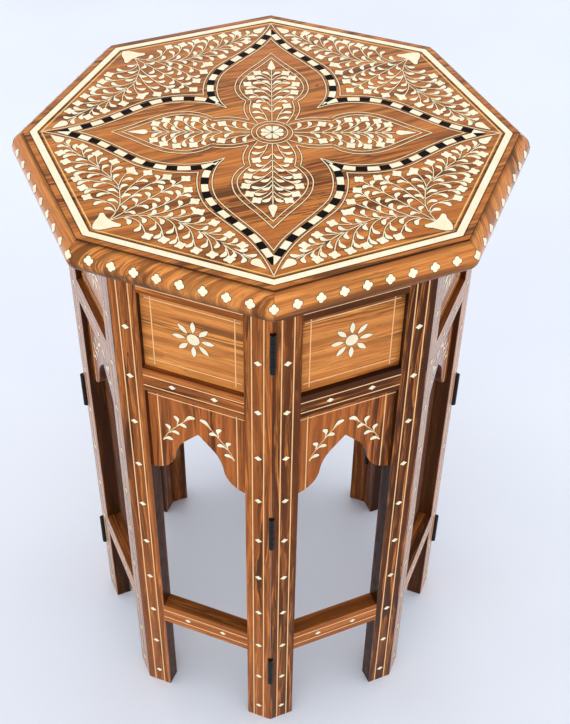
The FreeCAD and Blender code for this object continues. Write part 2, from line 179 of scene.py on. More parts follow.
@dataclass
class NodeBench:
    """Places and links the nodes of one shader tree. A term may be a socket or a plain value.

    Attributes:
        tree: the node tree that is being built.
    """

    tree: Tree

    def add(self, kind: str, terms: Terms | None = None, **settings: object) -> Node:
        """Adds a node.

        Args:
            kind: the node's type name, without its first part.
            terms: what goes into its inputs, by name or number.
            **settings: plain properties of the node.

        Returns:
            The new node.
        """
        node = self.tree.nodes.new(f"ShaderNode{kind}")
        for name, setting in settings.items():
            setattr(node, name, setting)
        self.fill(node, terms or {})
        return node

    def fill(self, node: Node, terms: Terms) -> None:
        """Links a node's inputs to sockets, or sets them to plain values.

        Args:
            node: the node.
            terms: what goes into its inputs, by name or number.
        """
        for key, term in terms.items():
            if isinstance(term, Socket):
                self.tree.links.new(term, node.inputs[key])
            else:
                node.inputs[key].default_value = term

    def math(self, operation: str, *terms: object) -> Socket:
        """Result of a Math node."""
        return self.add("Math", dict(enumerate(terms)), operation=operation).outputs[0]

    def vector(self, operation: str, *terms: object) -> Socket:
        """Result of a Vector Math node."""
        return self.add("VectorMath", dict(enumerate(terms)), operation=operation).outputs[0]

    def split(self, vector: Socket) -> Outputs:
        """The three axes of a vector, by name."""
        return self.add("SeparateXYZ", {0: vector}).outputs

    def join(self, *axes: object) -> Socket:
        """A vector from its three axes."""
        return self.add("CombineXYZ", dict(enumerate(axes))).outputs[0]

    def spin(self, vector: Socket, angle: Socket) -> Socket:
        """A vector turned about Z."""
        terms = {"Vector": vector, "Angle": angle}
        return self.add("VectorRotate", terms, rotation_type="Z_AXIS").outputs[0]

    def seat(self) -> Socket:
        """Coordinates in the piece's own object."""
        return self.add("TexCoord").outputs["Object"]

    def group(self, tree: Tree, **terms: object) -> Outputs:
        """Outputs of a node group, by name."""
        return self.add("Group", terms, node_tree=tree).outputs

    def ramp(self, value: Socket, span: Point, ends: Point = (0.0, 1.0)) -> Socket:
        """A value remapped smoothly.

        Args:
            value: the value to remap.
            span: the values that become the two ends.
            ends: the results there.

        Returns:
            The remapped value.
        """
        (low, high), (bottom, top) = span, ends
        terms = {"Value": value, "From Min": low, "From Max": high, "To Min": bottom, "To Max": top}
        return self.add("MapRange", terms, interpolation_type="SMOOTHSTEP", clamp=True).outputs["Result"]

    def noise(self, vector: Socket, scale: float, detail: float, roughness: float = 0.5,
              output: str = "Fac") -> Socket:
        """Noise at a point.

        Args:
            vector: the point.
            scale: cells to the metre.
            detail: octaves.
            roughness: weight of the finer octaves.
            output: the output that is read.

        Returns:
            The noise, about 0 to 1.
        """
        terms = {"Vector": vector, "Scale": scale, "Detail": detail, "Roughness": roughness}
        return self.add("TexNoise", terms).outputs[output]

    def blend(self, factor: Socket, first: Colour | Socket, second: Colour | Socket) -> Socket:
        """Two colours mixed.

        Args:
            factor: share of the second colour.
            first: colour at factor 0.
            second: colour at factor 1.

        Returns:
            The mixed colour.
        """
        colours = [(*colour, 1.0) if isinstance(colour, tuple) else colour for colour in (first, second)]
        node = self.add("Mix", data_type="RGBA", blend_type="MIX", clamp_factor=True)
        self.fill(node, {0: factor, 6: colours[0], 7: colours[1]})
        return node.outputs[2]

    def worn(self, smears: Socket, roughness: float, spread: Point) -> Socket:
        """Roughness that smears spread below and above its mean."""
        return self.ramp(smears, (0.0, 1.0), (roughness - spread[0], roughness + spread[1]))

    def bump(self, height: Socket, strength: float, distance: float) -> Socket:
        """A normal bent by a height."""
        return self.add("Bump", {"Height": height, "Strength": strength, "Distance": distance}).outputs[0]


def new_group(name: str, takes: dict[str, str], gives: dict[str, str]) -> tuple[NodeBench, Outputs, Node]:
    """Starts a shader node group.

    Args:
        name: the group's name.
        takes: socket type of each input, by name.
        gives: socket type of each output, by name.

    Returns:
        A bench on the group, what it takes and its output node.
    """
    tree = bpy.data.node_groups.new(name, "ShaderNodeTree")
    for way, sockets in (("INPUT", takes), ("OUTPUT", gives)):
        for socket, kind in sockets.items():
            tree.interface.new_socket(socket, in_out=way, socket_type=kind)
    return NodeBench(tree), tree.nodes.new("NodeGroupInput").outputs, tree.nodes.new("NodeGroupOutput")


@dataclass(frozen=True)
class Drawn:
    """Noise drawn out along the fibres, which run along X.

    Attributes:
        pull: scale along the fibres against that across them.
        scale: cells to the metre across the fibres.
        detail: octaves.
        roughness: weight of the finer octaves.
        span: noise that becomes the two ends, or None where it is read as it is.
        ends: the results there.
    """

    pull: float
    scale: float
    detail: float
    roughness: float = 0.5
    span: Point | None = None
    ends: Point = (0.0, 1.0)

    def lay(self, bench: NodeBench, point: Socket, output: str = "Fac") -> Socket:
        """The noise at a point.

        Args:
            bench: bench on the tree.
            point: the point.
            output: the output of the noise that is read.

        Returns:
            The noise, remapped if it has a span.
        """
        drawn = bench.vector("MULTIPLY", point, (self.pull, 1.0, 1.0))
        noise = bench.noise(drawn, self.scale, self.detail, self.roughness, output)
        return noise if self.span is None else bench.ramp(noise, self.span, self.ends)


@dataclass(frozen=True)
class Figure:
    """Figure of rosewood whose fibres run along X.

    Attributes:
        drift: slow noise that bends the fibres.
        slant: rise of a growth band against its depth.
        unsteady: noise that makes the bands uneven.
        uneven: how uneven, in bands.
        rise: share of a band over which it darkens.
        fall: share of a band over which it ends.
        broad: broad dark streaks.
        fine: fine dark streaks.
        fine_share: strength of the fine streaks.
        growth: noise whose middle value draws thin dark lines.
        line: distance from that value at which a line begins and is full.
        cluster: where the streaks crowd.
        fibres: fine fibres.
        pores: open pores.
    """

    drift: Drawn = Drawn(0.28, 22.0, 2.0)
    slant: float = 0.55
    unsteady: Drawn = Drawn(0.05, 55.0, 3.0)
    uneven: float = 2.6
    rise: Point = (0.0, 0.82)
    fall: Point = (0.86, 1.0)
    broad: Drawn = Drawn(0.04, 130.0, 4.0, 0.6, (0.51, 0.575))
    fine: Drawn = Drawn(0.025, 420.0, 3.0, 0.6, (0.49, 0.565))
    fine_share: float = 0.8
    growth: Drawn = Drawn(0.03, 70.0, 2.0)
    line: Point = (0.009, 0.003)
    cluster: Drawn = Drawn(0.1, 36.0, 2.0, span=(0.42, 0.58), ends=(0.3, 1.0))
    fibres: Drawn = Drawn(0.03, 900.0, 2.0, span=(0.25, 0.75))
    pores: Drawn = Drawn(0.06, 1500.0, 1.0, span=(0.62, 0.74))

    MIDDLE: ClassVar[float] = 0.5

    def build(self) -> Tree:
        """Builds the figure as a node group.

        Returns:
            A group that gives growth bands, dark streaks, fine fibres and pores for a point.
        """
        takes = {"Vector": VECTOR, "Wander": FLOAT, "Spacing": FLOAT}
        gives = dict.fromkeys(("Bands", "Streaks", "Fibres", "Pores"), FLOAT)
        bench, start, end = new_group("rosewood grain", takes, gives)
        drift = self.drift.lay(bench, start["Vector"], "Color")
        centred = bench.vector("SUBTRACT", drift, (self.MIDDLE,) * 3)
        sway = bench.add("VectorMath", {0: centred, "Scale": start["Wander"]}, operation="SCALE").outputs[0]
        bent = bench.vector("ADD", start["Vector"], sway)
        axes = bench.split(bent)
        depth = bench.math("MULTIPLY_ADD", axes["Z"], self.slant, axes["Y"])
        phase = bench.math("DIVIDE", depth, start["Spacing"])
        unsteady = self.unsteady.lay(bench, bent)
        saw = bench.math("FRACT", bench.math("MULTIPLY_ADD", unsteady, self.uneven, phase))
        off_middle = bench.math("SUBTRACT", self.growth.lay(bench, bent), self.MIDDLE)
        line = bench.ramp(bench.math("ABSOLUTE", off_middle), self.line)
        fine = bench.math("MULTIPLY", self.fine.lay(bench, bent), self.fine_share)
        streaked = bench.math("MAXIMUM", bench.math("MAXIMUM", self.broad.lay(bench, bent), fine), line)
        bench.fill(end, {
            "Bands": bench.math("SUBTRACT", bench.ramp(saw, self.rise), bench.ramp(saw, self.fall)),
            "Streaks": bench.math("MULTIPLY", streaked, self.cluster.lay(bench, bent)),
            "Fibres": self.fibres.lay(bench, bent),
            "Pores": self.pores.lay(bench, bent),
        })
        return bench.tree


def build_handling_group() -> Tree:
    """Uneven polish and faint soiling left by hands.

    Returns:
        A group that gives soft patches and finer smears.
    """
    bench, start, end = new_group("handling", {"Vector": VECTOR}, {"Patches": FLOAT, "Smears": FLOAT})
    patches = bench.noise(start["Vector"], scale=14.0, detail=3.0)
    smears = bench.noise(start["Vector"], scale=90.0, detail=4.0, roughness=0.65)
    bench.fill(end, {"Patches": bench.ramp(patches, (0.35, 0.68)), "Smears": bench.ramp(smears, (0.4, 0.7))})
    return bench.tree


def build_side_group() -> Tree:
    """Coordinates along, out of and up each of the eight sides.

    Returns:
        A group that turns a point into its own side's frame, facing -Y, and numbers the side.
    """
    bench, start, end = new_group("side frame", {"Vector": VECTOR}, {"Vector": VECTOR, "Side": FLOAT})
    axes = bench.split(start["Vector"])
    angle = bench.math("ADD", bench.math("ARCTAN2", axes["Y"], axes["X"]), UPRIGHT)
    side = bench.math("FLOOR", bench.math("DIVIDE", angle, TURN))
    back = bench.math("MULTIPLY_ADD", side, -TURN, -HALF_TURN)
    bench.fill(end, {"Vector": bench.spin(start["Vector"], back), "Side": side})
    return bench.tree


@dataclass
class Workshop:
    """Node groups that several finishes share, built once.

    Attributes:
        grain: rosewood figure.
        handling: uneven polish.
        side: frame of each side.
    """

    grain: Tree = field(default_factory=lambda: Figure().build())
    handling: Tree = field(default_factory=build_handling_group)
    side: Tree = field(default_factory=build_side_group)


# Finishes


class Fibres(Enum):
    """Direction of a piece's fibres in its own frame, as the axes read in order."""

    ACROSS = ("X", "Y", "Z")
    UP = ("Z", "X", "Y")


def start_material(name: str) -> tuple[Material, NodeBench, Node]:
    """Starts a material with its surface shader.

    Args:
        name: the material's name.

    Returns:
        The material, a bench on its tree and its Principled shader.
    """
    material = bpy.data.materials.new(name)
    material.use_nodes = True
    material.node_tree.nodes.clear()
    bench = NodeBench(material.node_tree)
    shader = bench.add("BsdfPrincipled")
    bench.add("OutputMaterial", {"Surface": shader.outputs[0]})
    return material, bench, shader


@dataclass(frozen=True)
class Timber:
    """An oiled and polished rosewood.

    Attributes:
        name: the material's name.
        pale: colour between the growth bands.
        warm: colour in the growth bands.
        umber: colour of the dark streaks and of dark boards.
        fibres: direction of the fibres in the piece's frame.
        turn: turn of the piece about Z, or None where each side has its own.
        tilt: turn of the fibres in the piece's face, on every second side where each has its own turn.
        place: shift of the figure, so that no two pieces share one.
        tones: darkness of the wood before and past the parting.
        parting: axis and place at which the two tones part.
        streaks: strength of the dark streaks.
        bands: strength of the growth bands.
        spacing: growth band spacing in metres.
        wander: how far the figure sways, in metres.
        face: distance of the polished face from the middle. Wood further in is left unpolished and gets
            painted shade.
        recess_shade: strength of the painted shade on that inner wood.
        joints: distances from the middle of the dark joint lines along the sides.
        mitred: whether the joints at the corners show.
        quirk: distance from the middle of the quirk that gets painted shade, if there is one.
        under: heights at which painted shade begins and is darkest, where the wood turns under.
    """

    name: str
    pale: Colour
    warm: Colour
    umber: Colour
    fibres: Fibres = Fibres.ACROSS
    turn: float | None = 0.0
    tilt: float = 0.0
    place: float = 0.0
    tones: Point = (0.0, 0.0)
    parting: tuple[str, float] = ("X", 0.0)
    streaks: float = 0.9
    bands: float = 0.8
    spacing: float = 0.009
    wander: float = 0.02
    face: float | None = None
    recess_shade: float = 0.86
    joints: tuple[float, ...] = ()
    mitred: bool = False
    quirk: float | None = None
    under: Point | None = None

    # Shift of the figure between halves or sides, and how flat layered wood lies
    STEP: ClassVar[float] = 0.73
    LAYERED: ClassVar[float] = 0.15
    # How the dark tones are broken up, and the strength of fibres, pores and soiling
    RAGGED: ClassVar[float] = 1.1
    TONED: ClassVar[Point] = (-0.2, 1.2)
    FIBROUS: ClassVar[float] = 0.25
    PORED: ClassVar[float] = 0.45
    SOILED: ClassVar[float] = 0.12
    # The polish: rougher where smeared, in relief, glossy at a low angle and dull on painted shade and on
    # dark joint lines
    ROUGHNESS: ClassVar[float] = 0.36
    SMEARED: ClassVar[Point] = (0.06, 0.08)
    RELIEF: ClassVar[Point] = (0.3, 0.0001)
    GLOSS: ClassVar[float] = 0.07
    FACING: ClassVar[float] = 0.5
    POLISH: ClassVar[Point] = (0.42, 0.8)
    DULLED: ClassVar[Point] = (0.5, 0.1)
    COAT_ROUGHNESS: ClassVar[float] = 0.24
    # Reach and strength of the painted shade on inner faces (less of it deep inside), of the dark joint and
    # mitre lines, of the painted shade in the quirk and of the painted shade under the moulding
    RECESS_SHADE_DEPTH: ClassVar[Point] = (0.0001, 0.001)
    INNER_DEPTH: ClassVar[Point] = (0.0135, 0.0147)
    INNER: ClassVar[float] = 0.55
    JOINT_REACH: ClassVar[Point] = (0.0006, 0.00015)
    JOINT: ClassVar[float] = 0.8
    MITRE: ClassVar[float] = 0.45
    QUIRK_REACH: ClassVar[Point] = (0.0036, 0.0004)
    QUIRK_SHADE: ClassVar[float] = 0.42
    UNDER_SHADE: ClassVar[float] = 0.68

    def frame_point(self, bench: NodeBench, shop: Workshop) -> tuple[Socket, Socket, object]:
        """Coordinates in the piece's own frame, facing -Y.

        Args:
            bench: bench on the material.
            shop: shared node groups.

        Returns:
            The piece's coordinates, those in the frame of the side, and the figure's own shift.
        """
        seat = bench.seat()
        side = bench.group(shop.side, Vector=seat)
        if self.turn is not None:
            turn = (0.0, 0.0, -self.turn - self.tilt)
            mapping = bench.add("Mapping", {"Vector": seat, "Rotation": turn})
            return mapping.outputs[0], side["Vector"], self.place
        odd = bench.math("PINGPONG", side["Side"], 1.0)
        slanted = bench.spin(side["Vector"], bench.math("MULTIPLY", odd, -self.tilt))
        flat = bench.math("MULTIPLY_ADD", odd, self.LAYERED - 1, 1.0)
        layered = bench.vector("MULTIPLY", slanted, bench.join(1.0, 1.0, flat))
        return layered, side["Vector"], bench.math("MULTIPLY_ADD", side["Side"], self.STEP, self.place)

    def shade(self, bench: NodeBench, piece: Outputs, side: Outputs) -> Socket:
        """Painted shade on inner faces, under the moulding's round and in its quirk, with the dark joint
        lines.

        Args:
            bench: bench on the material.
            piece: axes of the piece's coordinates.
            side: axes of the side's coordinates.

        Returns:
            The darkness.
        """
        shades = []
        # Painted shade on wood behind the polished face, partly taken back again deeper inside
        if self.face is not None:
            depth = bench.math("ADD", piece["Y"], self.face)
            recess_shade = bench.ramp(depth, self.RECESS_SHADE_DEPTH, (0.0, self.recess_shade))
            inner = bench.ramp(depth, self.INNER_DEPTH, (0.0, self.INNER * self.recess_shade))
            shades.append(bench.math("SUBTRACT", recess_shade, inner))
        # Painted shade where the moulding's round turns under
        if self.under is not None:
            shades.append(bench.ramp(side["Z"], self.under, (0.0, self.UNDER_SHADE)))
        lines = [(apothem, self.JOINT_REACH, self.JOINT) for apothem in self.joints]
        # Painted shade in the quirk between board and moulding
        if self.quirk is not None:
            lines.append((self.quirk, self.QUIRK_REACH, self.QUIRK_SHADE))
        for apothem, reach, strength in lines:
            gap = bench.math("ABSOLUTE", bench.math("ADD", side["Y"], apothem))
            shades.append(bench.ramp(gap, reach, (0.0, strength)))
        if self.mitred:
            aside = bench.math("ABSOLUTE", side["X"])
            gap = bench.math("ABSOLUTE", bench.math("MULTIPLY_ADD", side["Y"], math.tan(HALF_TURN), aside))
            shades.append(bench.ramp(gap, self.JOINT_REACH, (0.0, self.MITRE)))
        darkest = bench.math("MAXIMUM", 0.0, shades[0])
        for shade in shades[1:]:
            darkest = bench.math("MAXIMUM", darkest, shade)
        return darkest

    def make(self, shop: Workshop) -> Material:
        """Builds the material.

        Args:
            shop: shared node groups.

        Returns:
            The finished material.
        """
        material, bench, shader = start_material(self.name)
        point, in_side, own = self.frame_point(bench, shop)
        axes = bench.split(point)
        axis, place = self.parting
        past = bench.math("GREATER_THAN", axes[axis], place)
        first, second = self.tones
        tone = bench.math("MULTIPLY_ADD", past, second - first, first)
        shift = bench.math("MULTIPLY_ADD", past, self.STEP if first != second else 0.0, own)
        lengthwise = bench.join(*(axes[axis] for axis in self.fibres.value))
        laid = bench.vector("ADD", lengthwise, bench.join(shift, shift, self.place))
        grain = bench.group(shop.grain, Vector=laid, Wander=self.wander, Spacing=self.spacing)
        hands = bench.group(shop.handling, Vector=laid)
        shade = self.shade(bench, axes, bench.split(in_side))
        ragged = bench.math("MULTIPLY_ADD", grain["Fibres"], self.RAGGED, grain["Bands"])
        toned = bench.math("MULTIPLY", tone, bench.ramp(ragged, self.TONED))
        streaked = bench.math("MULTIPLY", grain["Streaks"], self.streaks)
        skin = bench.blend(bench.math("MULTIPLY", grain["Bands"], self.bands), self.pale, self.warm)
        skin = bench.blend(bench.math("MAXIMUM", streaked, toned), skin, self.umber)
        skin = bench.blend(bench.math("MULTIPLY", grain["Fibres"], self.FIBROUS), skin, self.umber)
        skin = bench.blend(bench.math("MULTIPLY", grain["Pores"], self.PORED), skin, self.umber)
        skin = bench.blend(bench.math("MULTIPLY", hands["Patches"], self.SOILED), skin, self.warm)
        facing = bench.add("LayerWeight", {"Blend": self.FACING}).outputs["Facing"]
        polish = bench.math("MULTIPLY", bench.ramp(facing, self.POLISH), bench.ramp(shade, self.DULLED))
        height = bench.math("SUBTRACT", grain["Fibres"], grain["Pores"])
        bench.fill(shader, {
            # Painted shade and dark joint lines darken the colour toward umber
            "Base Color": bench.blend(shade, skin, self.umber),
            "Roughness": bench.worn(hands["Smears"], self.ROUGHNESS, self.SMEARED),
            "Specular IOR Level": self.GLOSS,
            "Coat Weight": polish,
            "Coat Roughness": self.COAT_ROUGHNESS,
            "Normal": bench.bump(height, *self.RELIEF),
        })
        return material


@dataclass(frozen=True)
class Veined:
    """A close-grained inlay: bone, string, satinwood, blackwood or filler.

    Attributes:
        name: the material's name.
        body: main colour.
        cloud: colour of the soft clouds in it.
        vein: colour of the fine veins.
        roughness: roughness of the polish.
        gloss: strength of its sheen.
    """

    name: str
    body: Colour
    cloud: Colour
    vein: Colour
    roughness: float
    gloss: float

    CLOUDS: ClassVar[Point] = (0.35, 0.7)
    VEIN_PULL: ClassVar[Place] = (1.0, 0.3, 0.3)
    VEINS: ClassVar[Point] = (0.5, 0.75)
    VEINED: ClassVar[float] = 0.35
    SMEARED: ClassVar[Point] = (0.05, 0.1)
    RELIEF: ClassVar[Point] = (0.2, 0.00008)

    def make(self, shop: Workshop) -> Material:
        """Builds the material.

        Args:
            shop: shared node groups.

        Returns:
            The finished material.
        """
        material, bench, shader = start_material(self.name)
        seat = bench.seat()
        clouds = bench.ramp(bench.noise(seat, scale=70.0, detail=2.0), self.CLOUDS)
        drawn = bench.vector("MULTIPLY", seat, self.VEIN_PULL)
        veins = bench.ramp(bench.noise(drawn, scale=420.0, detail=3.0), self.VEINS)
        clouded = bench.blend(clouds, self.body, self.cloud)
        hands = bench.group(shop.handling, Vector=seat)
        bench.fill(shader, {
            "Base Color": bench.blend(bench.math("MULTIPLY", veins, self.VEINED), clouded, self.vein),
            "Roughness": bench.worn(hands["Smears"], self.roughness, self.SMEARED),
            "Specular IOR Level": self.gloss,
            "Normal": bench.bump(veins, *self.RELIEF),
        })
        return material


@dataclass(frozen=True)
class Ironwork:
    """Blackened or bright metal of the hinges.

    Attributes:
        name: the material's name.
        skin: colour of the dark skin.
        bare: colour where the skin is rubbed through.
        rubbed: share of rubbed metal.
        roughness: roughness of the skin.
    """

    name: str
    skin: Colour
    bare: Colour
    rubbed: float
    roughness: float

    SPECKS: ClassVar[Point] = (0.52, 0.7)
    METALLIC: ClassVar[Point] = (0.2, 1.0)
    GLOSS: ClassVar[float] = 0.14
    SMEARED: ClassVar[Point] = (0.08, 0.12)
    RELIEF: ClassVar[Point] = (0.3, 0.0001)

    def make(self, shop: Workshop) -> Material:
        """Builds the material.

        Args:
            shop: shared node groups.

        Returns:
            The finished material.
        """
        material, bench, shader = start_material(self.name)
        seat = bench.seat()
        specks = bench.noise(seat, scale=1300.0, detail=3.0, roughness=0.6)
        rub = bench.math("MULTIPLY", bench.ramp(specks, self.SPECKS), self.rubbed)
        hands = bench.group(shop.handling, Vector=seat)
        bench.fill(shader, {
            "Base Color": bench.blend(rub, self.skin, self.bare),
            "Metallic": bench.ramp(rub, (0.0, 1.0), self.METALLIC),
            "Specular IOR Level": self.GLOSS,
            "Roughness": bench.worn(hands["Smears"], self.roughness, self.SMEARED),
            "Normal": bench.bump(specks, *self.RELIEF),
        })
        return material


# Inlay work


class Inlay(Enum):
    """What an inlay piece is cut from, with a slot name for it."""

    BONE = ("bone", "cream_inlay")
    STRING = ("string", "cream_inlay")
    BLACKWOOD = ("blackwood", "dark_inlay")
    WIRE = ("wire", "gold_line")
    SATINWOOD = ("satinwood", "gold_line")
    FILLER = ("filler", "dark_inlay")

    @property
    def word(self) -> str:
        """The word for it in a piece's name."""
        return self.value[0]

    @property
    def slot(self) -> str:
        """Its slot name."""
        return self.value[1]


Finishes = dict[Inlay, Material]
INLAY_FINISHES = {
    Inlay.BONE: Veined("polished bone", (0.89, 0.82, 0.6), (0.85, 0.75, 0.5), (0.73, 0.58, 0.33), 0.36, 0.2),
    Inlay.STRING: Veined("pale string", (0.87, 0.7, 0.44), (0.81, 0.6, 0.34), (0.64, 0.43, 0.21), 0.42, 0.2),
    Inlay.BLACKWOOD: Veined("blackwood inlay", (0.0015, 0.0013, 0.0012), (0.003, 0.0025, 0.002),
                            (0.008, 0.006, 0.004), 0.45, 0.03),
    Inlay.WIRE: Veined("gold string line", (0.86, 0.54, 0.18), (0.77, 0.46, 0.13), (0.54, 0.28, 0.07),
                       0.42, 0.2),
    Inlay.SATINWOOD: Veined("satinwood string", (0.88, 0.52, 0.24), (0.82, 0.46, 0.19), (0.64, 0.32, 0.12),
                            0.42, 0.15),
    Inlay.FILLER: Veined("dark filler", (0.012, 0.005, 0.003), (0.02, 0.008, 0.004), (0.008, 0.004, 0.002),
                         0.5, 0.06),
}


def bean(x: float, y: float) -> Point:
    """Comma leaf: thin tail at -x, round head at +x, bowed to +y.

    Args:
        x: place along the piece, from -0.5 to 0.5.
        y: place across it.

    Returns:
        The point on the outline.
    """
    head, neck, tail, tip, bow, sink = 0.26, 0.3, 0.2, 0.05, 0.44, 0.14
    share = x + 0.5
    if share > 1 - head:
        half = math.sqrt(max(0.0, 1 - ((share - 1 + head) / head) ** 2))
    else:
        swell = max(0.0, (share / (1 - head) - neck) / (1 - neck))
        half = (tail + (1 - tail) * swell * swell * (3 - 2 * swell)) * min(1.0, math.sqrt(share / tip))
    return x, math.copysign(half / 2, y) + bow * (1 - (2 * share - 1) ** 2) - sink


def drop(x: float, y: float) -> Point:
    """Drop: rounded blunt end at -x, nearly straight sides to a point at +x.

    Args:
        x: place along the piece, from -0.5 to 0.5.
        y: place across it.

    Returns:
        The point on the outline.
    """
    blunt, taper = 0.24, 0.9
    share = x + 0.5
    if share < blunt:
        half = 0.5 * math.sqrt(share / blunt * (2 - share / blunt))
    else:
        half = 0.5 * ((1 - share) / (1 - blunt)) ** taper
    return x, math.copysign(half, y)


def lens(x: float, y: float) -> Point:
    """Pointed oval along x."""
    return x, y * math.sqrt(max(0.0, 1.0 - 4 * x * x))


def blossom(x: float, y: float) -> Point:
    """Blossom with four hollow sides, its points on the axes.

    Args:
        x: place along the piece, from -0.5 to 0.5.
        y: place across it.

    Returns:
        The point on the outline.
    """
    hollow = 0.17
    reach = 1 - hollow + hollow * math.cos(4 * math.atan2(y, x))
    return x * reach, y * reach


def quatrefoil(x: float, y: float) -> Point:
    """Four rounded lobes on the axes.

    Args:
        x: place along the piece, from -0.5 to 0.5.
        y: place across it.

    Returns:
        The point on the outline.
    """
    hollow, fullness = 0.3, 0.9
    reach = 1 - hollow + hollow * abs(math.cos(2 * math.atan2(y, x))) ** fullness
    return x * reach, y * reach


def disc(x: float, y: float) -> Point:
    """Plain round."""
    return x, y


@dataclass(frozen=True)
class Cut:
    """Outline of a small cut piece.

    Attributes:
        shape: outline, as a move of a circle one unit across.
        points: points round it.
    """

    shape: Shape
    points: int


LEAF = Cut(bean, 18)
BUD = Cut(drop, 28)
PETAL = Cut(drop, 24)
BLOSSOM = Cut(blossom, 24)
RAY = Cut(lens, 14)
EYE = Cut(disc, 12)
BUTTON = Cut(disc, 24)
DIAMOND = Cut(disc, 4)


@dataclass(frozen=True)
class Path:
    """Smooth line through points on a sheet, in millimetres.

    Attributes:
        points: the points, in order.
        closed: whether it returns to its start.
    """

    points: Line
    closed: bool = False

    FINE: ClassVar[int] = 8

    def polyline(self) -> list[Vector]:
        """The line in short straight steps.

        Returns:
            Points along it, ends included.
        """
        knots = [Vector((x, y, 0.0)) for x, y in self.points]
        count = len(knots)
        if count == 2:
            return knots
        line = [knots[0]]
        for index in range(count if self.closed else count - 1):
            start, end = knots[index], knots[(index + 1) % count]
            before = knots[index - 1] if self.closed or index > 0 else start
            after = knots[(index + 2) % count] if self.closed or index + 2 < count else end
            reach = (end - start).length
            leave = (end - before).normalized() * reach / 3
            arrive = (after - start).normalized() * reach / 3
            line += geometry.interpolate_bezier(start, start + leave, end - arrive, end, self.FINE + 1)[1:]
        return line

    def walk(self, step: float) -> list[tuple[Vector, Vector]]:
        """Places at an even step along the line.

        Args:
            step: about how far apart they lie.

        Returns:
            Each place with the line's direction there, ends included.
        """
        line = self.polyline()
        lengths = [(after - before).length for before, after in zip(line, line[1:])]
        total = sum(lengths)
        count = max(1, round(total / step))
        places = []
        segment, passed = 0, 0.0
        for index in range(count + 1):
            target = total * index / count
            while segment < len(lengths) - 1 and passed + lengths[segment] < target:
                passed += lengths[segment]
                segment += 1
            share = (target - passed) / lengths[segment]
            here = line[segment].lerp(line[segment + 1], min(1.0, share))
            places.append((here, (line[segment + 1] - line[segment]).normalized()))
        return places


